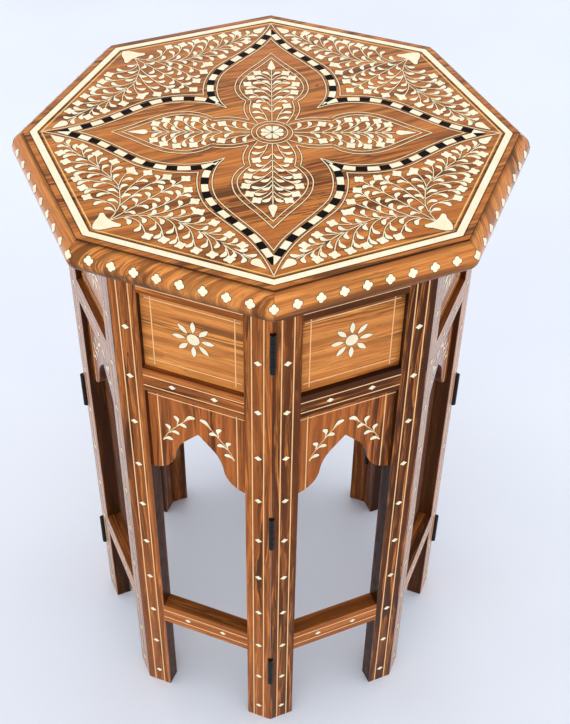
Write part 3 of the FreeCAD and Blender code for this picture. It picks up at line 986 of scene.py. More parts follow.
@dataclass
class Marquetry:
    """Inlay pieces drawn on a flat sheet in millimetres: x across, y up the sheet, z out of the face.

    Attributes:
        margin: width of the filler that shows.
        bare: stuffs that are set without filler.
        level: height of the face that is being worked, from the sheet.
        sheets: the meshes so far, one for each stuff.
    """

    margin: float = 0.42
    bare: frozenset[Inlay] = frozenset()
    level: float = 0.0
    sheets: dict[Inlay, Mesh] = field(default_factory=dict)

    # How far the filler and a strip stand above the face, and how much more a leaf, a blossom and a large
    # piece do, so that each lies over the last
    FILLER_PROUD: ClassVar[float] = 0.1
    PROUD: ClassVar[float] = 0.2
    LEAF_LIFT: ClassVar[float] = 0.03
    BLOSSOM_LIFT: ClassVar[float] = 0.06
    LARGE_LIFT: ClassVar[float] = 0.09
    # How deep a piece is let in, the share of a large piece's reach by which its filler is grown, and the
    # facets across a tile
    BITE: ClassVar[float] = 0.6
    PLATE_SHARE: ClassVar[float] = 0.6
    TILE_FACETS: ClassVar[int] = 5

    def layers(self, stuff: Inlay, lift: float = 0.0) -> list[tuple[Mesh, float, float]]:
        """Where a piece and the filler under it go.

        Args:
            stuff: what the piece is cut from.
            lift: how much more than a strip it stands out.

        Returns:
            Mesh, height and growth for each layer.
        """
        layers = [(stuff, self.PROUD + lift, 0.0)]
        if stuff not in self.bare:
            layers.append((Inlay.FILLER, self.FILLER_PROUD, self.margin))
        for layer, _, _ in layers:
            if layer not in self.sheets:
                self.sheets[layer] = bmesh.new()
        return [(self.sheets[layer], self.level + height, growth) for layer, height, growth in layers]

    @staticmethod
    def place(mesh: Mesh, verts: list[Vert], centre: Place, heading: float, size: Point) -> None:
        """Scales new vertices, turns them and moves them to their place."""
        turned = Matrix.Rotation(heading, 4, "Z") @ Matrix.Diagonal((*size, 1.0, 1.0))
        bmesh.ops.transform(mesh, matrix=Matrix.Translation(centre) @ turned, verts=verts)

    def stamp(self, stuff: Inlay, cut: Cut, centre: Point, heading: float, size: Point,
              lift: float = 0.0) -> None:
        """Sets a small cut piece.

        Args:
            stuff: what it is cut from.
            cut: its outline.
            centre: place of its middle.
            heading: turn of its own +x, in radians.
            size: length along heading and width across it. A negative width flips it.
            lift: how much more than a strip it stands out.
        """
        length, width = size
        for mesh, height, growth in self.layers(stuff, lift):
            verts = bmesh.ops.create_circle(mesh, cap_ends=True, segments=cut.points, radius=0.5)["verts"]
            for vert in verts:
                vert.co.xy = cut.shape(vert.co.x, vert.co.y)
            grown = (length + 2 * growth, width + math.copysign(2 * growth, width))
            self.place(mesh, verts, (*centre, height), heading, grown)

    def span(self, cut: Cut, tail: Point, head: Point, width: float, lift: float) -> None:
        """Sets a bone piece between two points.

        Args:
            cut: its outline.
            tail: its end at -x.
            head: its end at +x.
            width: width across it. A negative width flips it.
            lift: how much more than a strip it stands out.
        """
        run = Vector(head) - Vector(tail)
        middle = (Vector(tail) + Vector(head)) / 2
        self.stamp(Inlay.BONE, cut, tuple(middle), math.atan2(run.y, run.x), (run.length, width), lift)

    def leaves(self, rows: Iterable[Leaf], width: float) -> None:
        """Sets comma leaves from tail to head, each bent to the left at 1 or to the right at -1."""
        for tail, head, curl in rows:
            self.span(LEAF, tail, head, curl * width, self.LEAF_LIFT)

    def tile(self, stuff: Inlay, shape: Shape, centre: Point, heading: float, size: float) -> None:
        """Sets a small cut piece in facets that can follow a rounded edge.

        Args:
            stuff: what it is cut from.
            shape: outline, as a move of a circle one unit across.
            centre: place of its middle.
            heading: turn of its own +x, in radians.
            size: its length and width.
        """
        facets = self.TILE_FACETS
        for mesh, height, growth in self.layers(stuff):
            verts = bmesh.ops.create_grid(mesh, x_segments=facets, y_segments=facets, size=1.0)["verts"]
            for vert in verts:
                x, y = vert.co.xy
                vert.co.xy = shape(x * math.sqrt(1 - y * y / 2) / 2, y * math.sqrt(1 - x * x / 2) / 2)
            self.place(mesh, verts, (*centre, height), heading, (size + 2 * growth,) * 2)

    def ribbon(self, stuff: Inlay, path: Path, width: float, step: float = 3.0, over: float = 0.0) -> None:
        """Lays a strip along a line.

        Args:
            stuff: what it is cut from.
            path: its middle line.
            width: its width.
            step: length of its facets.
            over: how far it runs on past both ends.
        """
        places = path.walk(step)
        for end, sign in ((0, -1), (-1, 1)):
            here, along = places[end]
            places[end] = (here + along * sign * over, along)
        facets = len(places) - 1
        for mesh, height, growth in self.layers(stuff):
            verts = bmesh.ops.create_grid(mesh, x_segments=facets, y_segments=1, size=1.0)["verts"]
            spread = max(vert.co.x for vert in verts)
            for vert in verts:
                here, along = places[round((vert.co.x / spread + 1) / 2 * facets)]
                aside = Vector((-along.y, along.x, 0.0)) * math.copysign(width / 2 + growth, vert.co.y)
                vert.co = here + aside + Vector((0.0, 0.0, height))

    def plate(self, stuff: Inlay, outline: Iterable[Point]) -> None:
        """Sets a large piece cut to an outline.

        Args:
            stuff: what it is cut from.
            outline: its corners, in order.
        """
        corners = [Vector((x, y, 0.0)) for x, y in outline]
        middle = sum(corners, Vector()) / len(corners)
        reach = max((corner - middle).length for corner in corners)
        for mesh, height, growth in self.layers(stuff, self.LARGE_LIFT):
            made = bmesh.ops.create_circle(mesh, cap_ends=True, segments=len(corners), radius=reach)
            grown = 1 + growth / (self.PLATE_SHARE * reach)
            for vert, corner in zip(made["verts"], corners):
                vert.co = middle + (corner - middle) * grown + Vector((0.0, 0.0, height))

    @staticmethod
    def everything(mesh: Mesh) -> list[object]:
        """All elements of a mesh."""
        return [*mesh.verts, *mesh.edges, *mesh.faces]

    def trim(self, outward: Point) -> None:
        """Cuts off what lies past the line through the origin square to a direction."""
        for mesh in self.sheets.values():
            bmesh.ops.bisect_plane(mesh, geom=self.everything(mesh), plane_co=(0.0, 0.0, 0.0),
                                   plane_no=(*outward, 0.0), clear_outer=True)

    def mirror(self, angle: float) -> None:
        """Adds the mirror image in a line through the origin.

        Args:
            angle: the line's angle to +x, in radians.
        """
        turn = Matrix.Rotation(-angle, 4, "Z")
        for mesh in self.sheets.values():
            bmesh.ops.transform(mesh, matrix=turn, verts=mesh.verts)
            bmesh.ops.mirror(mesh, geom=self.everything(mesh), matrix=Matrix.Identity(4), merge_dist=-1.0,
                             axis="Y")
            bmesh.ops.transform(mesh, matrix=turn.inverted(), verts=mesh.verts)

    def repeat(self, count: int) -> None:
        """Repeats everything evenly round the origin."""
        for mesh in self.sheets.values():
            bmesh.ops.spin(mesh, geom=self.everything(mesh), cent=(0, 0, 0), axis=(0, 0, 1), steps=count - 1,
                           angle=math.tau * (count - 1) / count, use_duplicate=True)

    def settle(self, name: str, body: str, seat: Matrix | Move, finishes: Finishes) -> None:
        """Makes the pieces and sets them on a body. The sheet itself stays as it was.

        Args:
            name: start of the pieces' names.
            body: CAD body that they ride on.
            seat: move from the sheet, in millimetres, to the frame, in metres.
            finishes: material for each stuff.
        """
        for stuff, source in self.sheets.items():
            mesh = source.copy()
            made = bmesh.ops.extrude_face_region(mesh, geom=mesh.faces[:], use_keep_orig=True)
            sunk = [item for item in made["geom"] if isinstance(item, Vert)]
            bmesh.ops.translate(mesh, vec=(0.0, 0.0, -self.BITE), verts=sunk)
            if isinstance(seat, Matrix):
                bmesh.ops.transform(mesh, matrix=seat, verts=mesh.verts)
            else:
                for vert in mesh.verts:
                    vert.co = seat(vert.co)
            bmesh.ops.recalc_face_normals(mesh, faces=mesh.faces)
            piece = put_mesh(f"{name}_{stuff.word}", mesh, finishes[stuff])
            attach(piece, body)
            stuff.slot
            log.info("%s: %d faces on %s", piece.name, len(piece.data.polygons), body)

    def clear(self) -> None:
        """Frees the sheet's meshes."""
        for mesh in self.sheets.values():
            mesh.free()
        self.sheets.clear()


@dataclass(frozen=True)
class Twig:
    """A stem with a blossom at its end.

    Attributes:
        stem: points of the stem.
        blossom: place of its blossom.
    """

    stem: Line
    blossom: Point

    STEM: ClassVar[float] = 0.85
    BLOSSOM: ClassVar[float] = 9.0
    END_STEP: ClassVar[float] = 1.0

    def cut(self, sheet: Marquetry) -> None:
        """Cuts the twig into a sheet.

        Args:
            sheet: the sheet that takes it.
        """
        path = Path((*self.stem, self.blossom))
        sheet.ribbon(Inlay.STRING, path, self.STEM)
        along = path.walk(self.END_STEP)[-1][1]
        heading = math.atan2(along.y, along.x)
        sheet.stamp(Inlay.BONE, BLOSSOM, self.blossom, heading, (self.BLOSSOM,) * 2, sheet.BLOSSOM_LIFT)


@dataclass
class Ornament:
    """Inlay that is drawn on a sheet and let into the table.

    Attributes:
        finishes: material for each stuff.
        sheet: the sheet that it is drawn on.
    """

    finishes: Finishes
    sheet: Marquetry = field(default_factory=Marquetry)

    def build(self) -> None:
        """Draws the inlay and lets it in."""
        raise NotImplementedError

    def settle_on_top(self, name: str) -> None:
        """Lets what is drawn into the face of the table top and clears the sheet.

        Args:
            name: start of the pieces' names.
        """
        seat = Matrix.Scale(MM, 4) @ Matrix.Translation((0.0, 0.0, TABLE.height))
        self.sheet.settle(name, "top", seat, self.finishes)
        self.sheet.clear()


# The table top


@dataclass
class StarBand(Ornament):
    """Four-pointed checkered band with a thin line on each side, right half of its front point.

    Attributes:
        middle: middle line of the checkered band, from the point to the diagonal.
        inner: thin line inside it.
        outer: thin line outside it.
        width: width of the band.
        pale_cell: length of a pale cell.
        dark_cell: length of a dark cell.
        pairs: pale and dark pairs on half a point.
        line: width of the thin lines.
    """

    middle: Line = (
        (-1.5, -167), (1.2, -161.5), (6.2, -151), (13, -138), (21.5, -126.5), (31.5, -114.5), (41, -101.5),
        (47, -90), (50.2, -78), (50.4, -62), (48, -51), (44.5, -43), (41.5, -36.5))
    inner: Line = (
        (37, -37.5), (41.5, -46), (44.8, -60), (44.6, -76), (40.5, -91), (30, -107), (14, -128), (6, -140),
        (0, -152))
    outer: Line = (
        (56, -56), (56.5, -67), (54.5, -83), (48, -101), (34, -119), (22, -134), (13, -148), (5, -165),
        (0.4, -179))
    width: float = 5.4
    pale_cell: float = 8.5
    dark_cell: float = 7.7
    pairs: int = 8
    line: float = 0.9

    STEP: ClassVar[float] = 0.5
    FACET: ClassVar[float] = 2.4
    PAST: ClassVar[Line] = ((-1.0, 0.0), (-math.sin(DIAGONAL), math.cos(DIAGONAL)))

    def build(self) -> None:
        """Builds the band and its lines round the whole top."""
        left = tuple((-x, y) for x, y in reversed(self.middle))
        for half, points, flip in (("right", self.middle, 1), ("left", left, -1)):
            self.lay_cells(points)
            for x, y in self.PAST:
                self.sheet.trim((flip * x, y))
            self.sheet.repeat(QUARTERS)
            self.settle_on_top(f"star_cells_{half}")
        for points in (self.inner, self.outer):
            self.sheet.ribbon(Inlay.STRING, Path(points), self.line, over=self.line)
        for outward in self.PAST:
            self.sheet.trim(outward)
        self.sheet.mirror(FRONT)
        self.sheet.repeat(QUARTERS)
        self.settle_on_top("star_lines")

    def lay_cells(self, points: Line) -> None:
        """Lays pale and dark cells by turns along half a point.

        Args:
            points: middle line, anticlockwise round the top.
        """
        places = Path(points).walk(self.STEP)
        fit = (len(places) - 1) / (self.pairs * (self.pale_cell + self.dark_cell))
        first, reached = 0, 0.0
        for index in range(2 * self.pairs):
            stuff, reach = ((Inlay.BONE, self.pale_cell), (Inlay.BLACKWOOD, self.dark_cell))[index % 2]
            reached += reach * fit
            last = min(round(reached), len(places) - 1)
            run = [tuple(here.xy) for here, along in places[first:last + 1]]
            bend = Path((run[0], run[len(run) // 2], run[-1]))
            self.sheet.ribbon(stuff, bend, self.width, self.FACET)
            first = last


@dataclass
class PetalSprigs(Ornament):
    """Double-lined petals with a leafy sprig in each, right half of the front petal.

    Attributes:
        outer: outer line, in two runs that meet at the kink.
        inner: inner line, in two runs.
        line: width of the lines.
        stem: middle stem.
        twigs: side stems with their blossoms.
        leaves: tail and head of each loose leaf, with its curl.
        leaf_width: width of a leaf.
        bud: blunt end and point of the bud at the tip.
        bud_width: width of the bud.
    """

    outer: tuple[Line, ...] = (
        ((18.5, -19), (20.7, -25), (22.4, -33), (22.3, -40), (21, -47)),
        ((21, -47), (26, -53), (29.6, -62), (30.3, -70), (28.2, -82), (22, -94), (10.5, -110), (0, -126)))
    inner: tuple[Line, ...] = (
        ((11.5, -13.5), (14.5, -20), (17.4, -29), (18, -38), (16.7, -47.5)),
        ((16.7, -47.5), (21, -52.5), (25.4, -62), (26.5, -70), (24, -81), (18, -92), (8, -106), (0, -118)))
    line: float = 0.9
    stem: Line = ((0, -17), (0, -97))
    twigs: tuple[Twig, ...] = (
        Twig(((3.5, -17), (6, -27), (10, -36)), (12.3, -39.6)),
        Twig(((0, -38.5), (5, -46), (9, -52), (14, -57.5)), (18.6, -61)),
        Twig(((0, -53), (4.5, -59.5), (9, -65.5), (14, -69.5)), (20, -74)),
        Twig(((0, -66), (4.5, -73), (9, -78), (13, -81.5)), (17, -84.2)),
        Twig(((0, -80), (4, -86), (8, -89.6)), (11.8, -92.2)))
    leaves: tuple[Leaf, ...] = (
        ((4, -18.5), (13.8, -22), -1), ((6.3, -27.5), (15.8, -30), -1), ((0.4, -30.5), (7.5, -37.4), -1),
        ((5, -46), (13, -46), -1), ((0.4, -47.5), (9, -54.4), -1), ((9.6, -52.6), (18.8, -52.4), -1),
        ((5.6, -61), (15, -62.5), -1), ((11, -67.4), (21.2, -67.6), -1), ((0.4, -61.6), (8.4, -68.6), -1),
        ((5.6, -74.6), (15.8, -75.8), -1), ((0.4, -72.4), (7.4, -79.4), -1),
        ((4, -82.6), (13.8, -84.4), -1), ((0.4, -86.6), (7.4, -94.4), -1))
    leaf_width: float = 3.9
    bud: tuple[Point, Point] = ((0, -97.5), (0, -113.5))
    bud_width: float = 6.8

    OVER: ClassVar[float] = 0.4

    def build(self) -> None:
        """Builds the four petals."""
        sheet = self.sheet
        for run in (*self.outer, *self.inner):
            sheet.ribbon(Inlay.STRING, Path(run), self.line, over=self.OVER)
        sheet.trim((-1.0, 0.0))
        for twig in self.twigs:
            twig.cut(sheet)
        sheet.leaves(self.leaves, self.leaf_width)
        sheet.mirror(FRONT)
        sheet.ribbon(Inlay.STRING, Path(self.stem), Twig.STEM)
        sheet.span(BUD, *self.bud, self.bud_width, sheet.LARGE_LIFT)
        sheet.repeat(QUARTERS)
        self.settle_on_top("petal_sprigs")


@dataclass
class CornerFoliage(Ornament):
    """Tulip at a corner of the top with foliage on two curved arms, the arm towards +X drawn.

    Attributes:
        arm: main stem of the arm.
        twigs: branches of the arm.
        leaves: tail and head of each leaf, with its curl.
        leaf_width: width of a leaf.
        spine: twig along the diagonal.
        bud: blunt end and point of the bud at the arm's tip.
        bud_width: width of the bud.
        tulip: half outline of the tulip, out along the diagonal and aside from it.
    """

    arm: Line = (
        (117, -116.5), (113.5, -108), (111.3, -98), (112, -87.5), (113.3, -78), (115.5, -71), (119.5, -65),
        (124.5, -58.5), (129.5, -52), (134.5, -45.5), (140, -40), (145.5, -34.5), (151, -29.5),
        (155.6, -24), (158.6, -19.6), (161.6, -15.8))
    twigs: tuple[Twig, ...] = (
        Twig(((111, -99), (107, -92.5), (100, -82.5), (95, -76), (90, -70.5), (84, -66.5)), (79, -62.5)),
        Twig(((111, -88.5), (106, -76.5), (101.5, -68.5), (97, -61.5)), (93.7, -57)),
        Twig(((114.2, -74), (113.2, -67), (110.4, -59.5)), (106.8, -53)),
        Twig(((119.8, -65), (121.3, -57), (121.6, -49)), (120, -42.2)),
        Twig(((129.7, -52), (132.6, -45), (134, -38)), (134, -31)),
        Twig(((142.3, -38), (144.8, -32), (146, -27.4)), (146.4, -21.6)),
        Twig(((113.2, -107.4), (114.6, -101), (118, -96.5), (124, -93), (130, -91)), (136, -88.6)),
        Twig(((112, -90), (117, -85), (123, -81), (130, -78.6)), (140.4, -76.8)),
        Twig(((113.4, -78.5), (118, -73.4), (124, -70), (133, -68)), (146.4, -65)),
        Twig(((119, -66.2), (125, -61), (132, -57.6), (140, -56)), (152.4, -53.6)),
        Twig(((128.6, -53.2), (134, -48.4), (141, -44.8), (149, -43)), (157, -42.3)),
        Twig(((139.6, -40.4), (146, -34.6), (153, -31.8)), (162.4, -30.4)))
    leaves: tuple[Leaf, ...] = (
        ((107.5, -106.5), (108.6, -98.8), 1), ((99.3, -98.6), (101.8, -89.8), 1),
        ((90.8, -91), (93, -81.8), 1), ((82, -82), (83.8, -72.8), 1), ((74.6, -74.8), (75.2, -66.2), 1),
        ((111, -90), (104.6, -84.6), -1), ((104.2, -88.4), (95.8, -86), -1),
        ((96.8, -78.6), (88.2, -77.6), -1), ((89.4, -70.4), (79.6, -70.2), -1),
        ((86.8, -68.2), (86.8, -59.6), 1), ((112.8, -79), (108.2, -71.8), -1),
        ((107.8, -79.8), (98.8, -76.6), -1), ((101.8, -69.2), (92.6, -67.6), -1),
        ((112.4, -67.6), (103.8, -64.6), -1), ((109.6, -57.8), (100.6, -58.4), -1),
        ((118.6, -66.8), (115.6, -58.6), -1), ((121, -56), (113.2, -49.2), -1),
        ((128.4, -54), (124.6, -46), -1), ((132, -45), (126, -36.8), -1),
        ((140, -40.4), (137.4, -32.6), -1), ((144.8, -32), (138.6, -25), -1),
        ((113.4, -107), (121.8, -102), 1), ((121, -94.4), (130.6, -97.6), 1),
        ((112, -96), (120.4, -91.4), 1), ((119.4, -83.4), (129.4, -87), 1),
        ((130, -78.8), (138.8, -83.4), 1), ((113, -83.4), (121.6, -78.4), 1),
        ((124, -70.2), (133, -75), 1), ((136, -67.4), (145, -72.2), 1), ((119.4, -67), (128.4, -65.8), 1),
        ((130, -59), (138.8, -63), 1), ((140, -56), (149, -60.6), 1), ((129.8, -52.6), (139, -52), 1),
        ((139.6, -46), (149.4, -49.8), 1), ((140.6, -40), (149.8, -40), 1), ((150, -33), (160, -36), 1),
        ((152.6, -28), (160.6, -28.4), 1), ((150.6, -27.4), (151.8, -17.8), -1),
        ((156.2, -21.6), (157.8, -11.2), -1), ((157.4, -22), (166.2, -20.8), 1))
    leaf_width: float = 4.1
    spine: Twig = Twig(((116, -116), (100, -100), (84, -84), (72, -72)), (64.6, -64.8))
    bud: tuple[Point, Point] = ((162.6, -14.4), (173, -4.9))
    bud_width: float = 8.2
    tulip: Line = (
        (165.0, 0.6), (164.9, 3.2), (164.0, 6.6), (163.0, 8.8), (163.1, 10.2), (164.0, 11.1),
        (165.6, 11.0), (167.3, 9.6), (169.2, 8.2), (171.6, 7.2), (174.6, 6.0), (177.8, 3.9), (180.4, 0.9))

    def build(self) -> None:
        """Builds the foliage in the four fields."""
        sheet = self.sheet
        sheet.ribbon(Inlay.STRING, Path(self.arm), Twig.STEM)
        for twig in self.twigs:
            twig.cut(sheet)
        sheet.leaves(self.leaves, self.leaf_width)
        sheet.span(BUD, *self.bud, self.bud_width, sheet.LARGE_LIFT)
        sheet.mirror(DIAGONAL)
        self.spine.cut(sheet)
        outward = Vector((math.cos(DIAGONAL), math.sin(DIAGONAL)))
        aside = outward.orthogonal()
        whole = (*self.tulip, *((out, -side) for out, side in reversed(self.tulip)))
        sheet.plate(Inlay.BONE, [tuple(outward * out + aside * side) for out, side in whole])
        sheet.repeat(QUARTERS)
        self.settle_on_top("corner_foliage")


@dataclass
class Rosette(Ornament):
    """Eight-petalled rosette at the middle of the top.

    Attributes:
        radius: reach of its petals.
        petal_width: width of a petal.
        eye: size of the dark eye.
        rings: radii of the thin rings round it.
        line: width of the rings.
    """

    radius: float = 9.6
    petal_width: float = 5.4
    eye: float = 1.8
    rings: Point = (12.4, 16.2)
    line: float = 0.9

    FACET: ClassVar[float] = 2.0

    def build(self) -> None:
        """Builds the rosette."""
        sheet = self.sheet
        reach = self.radius - self.eye / 2
        middle = Vector((math.cos(HALF_TURN), math.sin(HALF_TURN))) * (self.radius - reach / 2)
        sheet.stamp(Inlay.BONE, PETAL, tuple(middle), HALF_TURN + math.pi, (reach, self.petal_width))
        sheet.repeat(SIDES)
        sheet.stamp(Inlay.BLACKWOOD, EYE, (0.0, 0.0), 0.0, (self.eye, self.eye))
        for radius in self.rings:
            turns = [index * TURN for index in range(SIDES)]
            knots = tuple((radius * math.cos(turn), radius * math.sin(turn)) for turn in turns)
            sheet.ribbon(Inlay.STRING, Path(knots, closed=True), self.line, self.FACET)
        self.settle_on_top("rosette")


@dataclass
class RimStars(Ornament):
    """Row of small four-lobed stars round the rounded edge of the top, one on every corner.

    Attributes:
        between: stars between two corners.
        size: size across the lobes.
        rise: height of the row above the widest part of the edge, along its curve.
        sway: how far a star is turned, at most, by the cutter's hand.
        sway_step: how much that varies from star to star, as an angle.
    """

    between: int = 8
    size: float = 7.6
    rise: float = 4.6
    sway: float = 0.16
    sway_step: float = 2.3

    @property
    def straight_half(self) -> float:
        """Half the straight run of one side's moulding."""
        return TABLE.seam_apothem * math.tan(HALF_TURN)

    def on_rim(self, side: int) -> Move:
        """Move from the unrolled rim of one side to the frame.

        Args:
            side: number of the side.

        Returns:
            A move of a point: x along the side, y up round the edge, z out of it.
        """
        radius = TABLE.nose_radius
        straight = self.straight_half

        def wrap(point: Vector) -> Vector:
            """Wraps one point.

            Args:
                point: the point on the unrolled rim, in millimetres.

            Returns:
                Its place in the frame, in metres.
            """
            lift = point.y / radius
            reach = TABLE.moulding_width - radius + (radius + point.z) * math.cos(lift)
            over = max(0.0, abs(point.x) - straight)
            swing = math.copysign(over / TABLE.moulding_width, point.x)
            along = max(-straight, min(straight, point.x)) + reach * math.sin(swing)
            out = TABLE.seam_apothem + reach * math.cos(swing)
            local = Vector((along, -out, TABLE.nose_height + (radius + point.z) * math.sin(lift)))
            return Matrix.Rotation(side_turn(side), 3, "Z") @ local * MM

        return wrap

    def build(self) -> None:
        """Builds the stars of all eight sides."""
        run = 2 * (self.straight_half + TABLE.moulding_width * HALF_TURN)
        pitch = run / (self.between + 1)
        for index in range(self.between + 1):
            turn = self.sway * math.sin(self.sway_step * index)
            self.sheet.tile(Inlay.BONE, quatrefoil, (index * pitch - run / 2, self.rise), turn, self.size)
        for side in range(SIDES):
            self.sheet.settle(f"rim_stars_{side + 1}", "top", self.on_rim(side), self.finishes)
        self.sheet.clear()


# The base panels


@dataclass
class PanelInlay(Ornament):
    """String lines, diamonds, star flower and leaf sprigs of one panel, drawn facing the viewer.

    Attributes:
        sheet: the sheet that it is drawn on, with no filler round its strings.
        string: width of the string lines.
        stile_strings: distance of a stile's two strings from the corner.
        string_end: distance of a stile's strings from its ends.
        diamond_column: distance of a stile's diamonds from the corner.
        diamond_first: height of the lowest diamond.
        diamond_pitch: rise from one diamond to the next.
        diamonds: diamonds on a stile.
        diamond_size: length and width of a stile's diamond.
        rail_diamond_size: length and width of a rail's diamond.
        rail_diamond_x: distance of a rail's diamonds from the middle.
        rail_strings: heights of the strings on the rails.
        rail_diamond_z: heights of the diamonds on the rails.
        opening_half: half the width between the stiles.
        star_frame: half width, bottom and top of the string frame on the star board.
        star_reach: how far that frame's strings run past each other.
        flower_z: height of the flower.
        flower_disc: size of its middle.
        petal_span: inner and outer radius of its petals.
        petal_width: width of a petal.
        arch_string_x: distance of the arch board's upright strings from the middle.
        arch_string_z: height of the arch board's string.
        arch_reach: how far the upright strings run past it.
        arch_foot: height of the arch board's feet.
        sprig: stem of the left sprig.
        sprig_stem: width of that stem.
        sprig_leaves: tail, head and curl of its leaves.
        sprig_width: width of a leaf.
    """

    sheet: Marquetry = field(default_factory=lambda: Marquetry(0.36, frozenset({Inlay.SATINWOOD})))
    string: float = 0.95
    stile_strings: tuple[float, float] = (7.1, 17.0)
    string_end: float = 0.4
    diamond_column: float = 11.9
    diamond_first: float = 18.7
    diamond_pitch: float = 51.1
    diamonds: int = 11
    diamond_size: Point = (6.6, 5.2)
    rail_diamond_size: Point = (6.4, 4.6)
    rail_diamond_x: float = 18.0
    rail_strings: tuple[float, ...] = (432.7, 422.2, 522.2, 533.0, 115.0, 125.5)
    rail_diamond_z: tuple[float, ...] = (427.6, 527.6, 120.3)
    opening_half: float = 42.9
    star_frame: tuple[float, float, float] = (34.3, 447.5, 508.5)
    star_reach: float = 5.0
    flower_z: float = 479.4
    flower_disc: float = 10.6
    petal_span: Point = (6.6, 17.6)
    petal_width: float = 4.3
    arch_string_x: float = 34.3
    arch_string_z: float = 409.2
    arch_reach: float = 6.0
    arch_foot: float = 326.2
    sprig: Line = ((-32, 359.4), (-26, 370.4), (-18, 380.4), (-11, 388.4), (-6, 392.5))
    sprig_stem: float = 0.7
    sprig_leaves: tuple[Leaf, ...] = (
        ((-32, 359.4), (-23.2, 363.6), 1), ((-26, 370.2), (-16.8, 372.2), 1),
        ((-26, 371), (-27.8, 379), -1), ((-19, 381), (-10, 382.6), 1), ((-18, 382), (-19.6, 391.4), -1),
        ((-12, 388.2), (-2.6, 395.8), 1))
    sprig_width: float = 4.2

    def draw(self) -> None:
        """Draws one panel's inlay, with the sheet's origin at the middle of the panel's foot."""
        self.draw_stile()
        self.draw_arch()
        self.sheet.mirror(UPRIGHT)
        self.draw_rails()
        self.draw_star_board()

    def lay_string(self, start: Point, end: Point) -> None:
        """Lays a straight string in one facet."""
        self.sheet.ribbon(Inlay.SATINWOOD, Path((start, end)), self.string, math.inf)

    def draw_stile(self) -> None:
        """Draws the left stile's strings and diamonds."""
        self.sheet.level = 0.0
        base_top = TABLE.height - TABLE.top_thickness
        for inset in self.stile_strings:
            x = inset - TABLE.half_side
            self.lay_string((x, self.string_end), (x, base_top - self.string_end))
        for index in range(self.diamonds):
            centre = (self.diamond_column - TABLE.half_side, self.diamond_first + index * self.diamond_pitch)
            self.sheet.stamp(Inlay.BONE, DIAMOND, centre, 0.0, self.diamond_size)

    def draw_rails(self) -> None:
        """Draws the strings and diamonds of the three rails."""
        self.sheet.level = 0.0
        for height in self.rail_strings:
            self.lay_string((-self.opening_half, height), (self.opening_half, height))
        for height in self.rail_diamond_z:
            for x in (-self.rail_diamond_x, self.rail_diamond_x):
                self.sheet.stamp(Inlay.BONE, DIAMOND, (x, height), 0.0, self.rail_diamond_size)

    def draw_star_board(self) -> None:
        """Draws the string frame and the flower of the star board."""
        self.sheet.level = -TABLE.board_recess
        half, bottom, top = self.star_frame
        for x in (-half, half):
            self.lay_string((x, bottom - self.star_reach), (x, top + self.star_reach))
        for height in (bottom, top):
            self.lay_string((-half - self.star_reach, height), (half + self.star_reach, height))
        centre = Vector((0.0, self.flower_z))
        self.sheet.stamp(Inlay.BONE, BUTTON, tuple(centre), 0.0, (self.flower_disc,) * 2)
        inner, outer = self.petal_span
        for index in range(SIDES):
            heading = UPRIGHT + index * TURN
            middle = centre + Vector((math.cos(heading), math.sin(heading))) * (inner + outer) / 2
            self.sheet.stamp(Inlay.BONE, RAY, tuple(middle), heading, (outer - inner, self.petal_width))

    def draw_arch(self) -> None:
        """Draws the left half of the arch board's strings and its sprig."""
        self.sheet.level = -TABLE.board_recess
        x, height = -self.arch_string_x, self.arch_string_z
        self.lay_string((x, self.arch_foot), (x, height + self.arch_reach))
        self.lay_string((-self.opening_half, height), (0.0, height))
        self.sheet.ribbon(Inlay.SATINWOOD, Path(self.sprig), self.sprig_stem)
        self.sheet.leaves(self.sprig_leaves, self.sprig_width)

    def build(self) -> None:
        """Sets the drawn inlay into all eight panels."""
        self.draw()
        upright = Matrix(((1, 0, 0, 0), (0, 0, -1, -TABLE.base_apothem), (0, 1, 0, 0), (0, 0, 0, 1)))
        for side in range(SIDES):
            seat = Matrix.Scale(MM, 4) @ Matrix.Rotation(side_turn(side), 4, "Z") @ upright
            self.sheet.settle(f"panel_{side + 1}_inlay", f"panel_{side + 1}", seat, self.finishes)
        self.sheet.clear()


# Dressing of the CAD solids: distances from the middle and the glue lines are in metres here

SEAM = TABLE.seam_apothem * MM
BAND_INNER, BAND_OUTER = (edge * MM for edge in TABLE.band_edges)
GLUE = 0.0006
FACE = TABLE.base_apothem * MM
INSET = FACE - TABLE.board_recess * MM
ROSEWOOD = ((0.69, 0.22, 0.046), (0.48, 0.13, 0.026), (0.014, 0.0045, 0.0025))

TOP_BOARD = Timber("top board rosewood", (0.68, 0.24, 0.048), (0.46, 0.13, 0.026), (0.022, 0.007, 0.0035),
                   tilt=math.radians(20), place=2.1, streaks=0.8, bands=0.75, spacing=0.016,
                   joints=(SEAM, BAND_INNER - 2 * GLUE, BAND_INNER - GLUE, BAND_OUTER + GLUE))
# The edge moulding has dark mitre lines and gets painted shade in its quirk and where it turns under
TOP_EDGE = Timber("edge moulding rosewood", (0.84, 0.33, 0.084), (0.56, 0.18, 0.041), (0.03, 0.009, 0.004),
                  turn=None, tilt=math.radians(38), place=5.3, streaks=0.76, wander=0.008, mitred=True,
                  quirk=SEAM, under=(0.5575, 0.549))
# The panel timbers get painted shade behind their faces; the rails get less of it
PANEL_TIMBERS = {
    "stiles": Timber("stile rosewood", *ROSEWOOD, Fibres.UP, place=0.4, wander=0.016, face=FACE),
    "rails": Timber("rail rosewood", *ROSEWOOD, place=1.3, parting=("Z", 0.3), spacing=0.01, wander=0.012,
                    face=FACE, recess_shade=0.45),
    "star_board": Timber("star board", (0.85, 0.335, 0.08), (0.61, 0.205, 0.046), (0.055, 0.014, 0.005),
                         place=2.1, streaks=0.78, spacing=0.01, face=INSET),
    "arch_board": Timber("arch board", (0.55, 0.166, 0.036), (0.38, 0.1, 0.021), (0.03, 0.009, 0.004),
                         Fibres.UP, place=3.0, streaks=0.85, face=INSET),
}
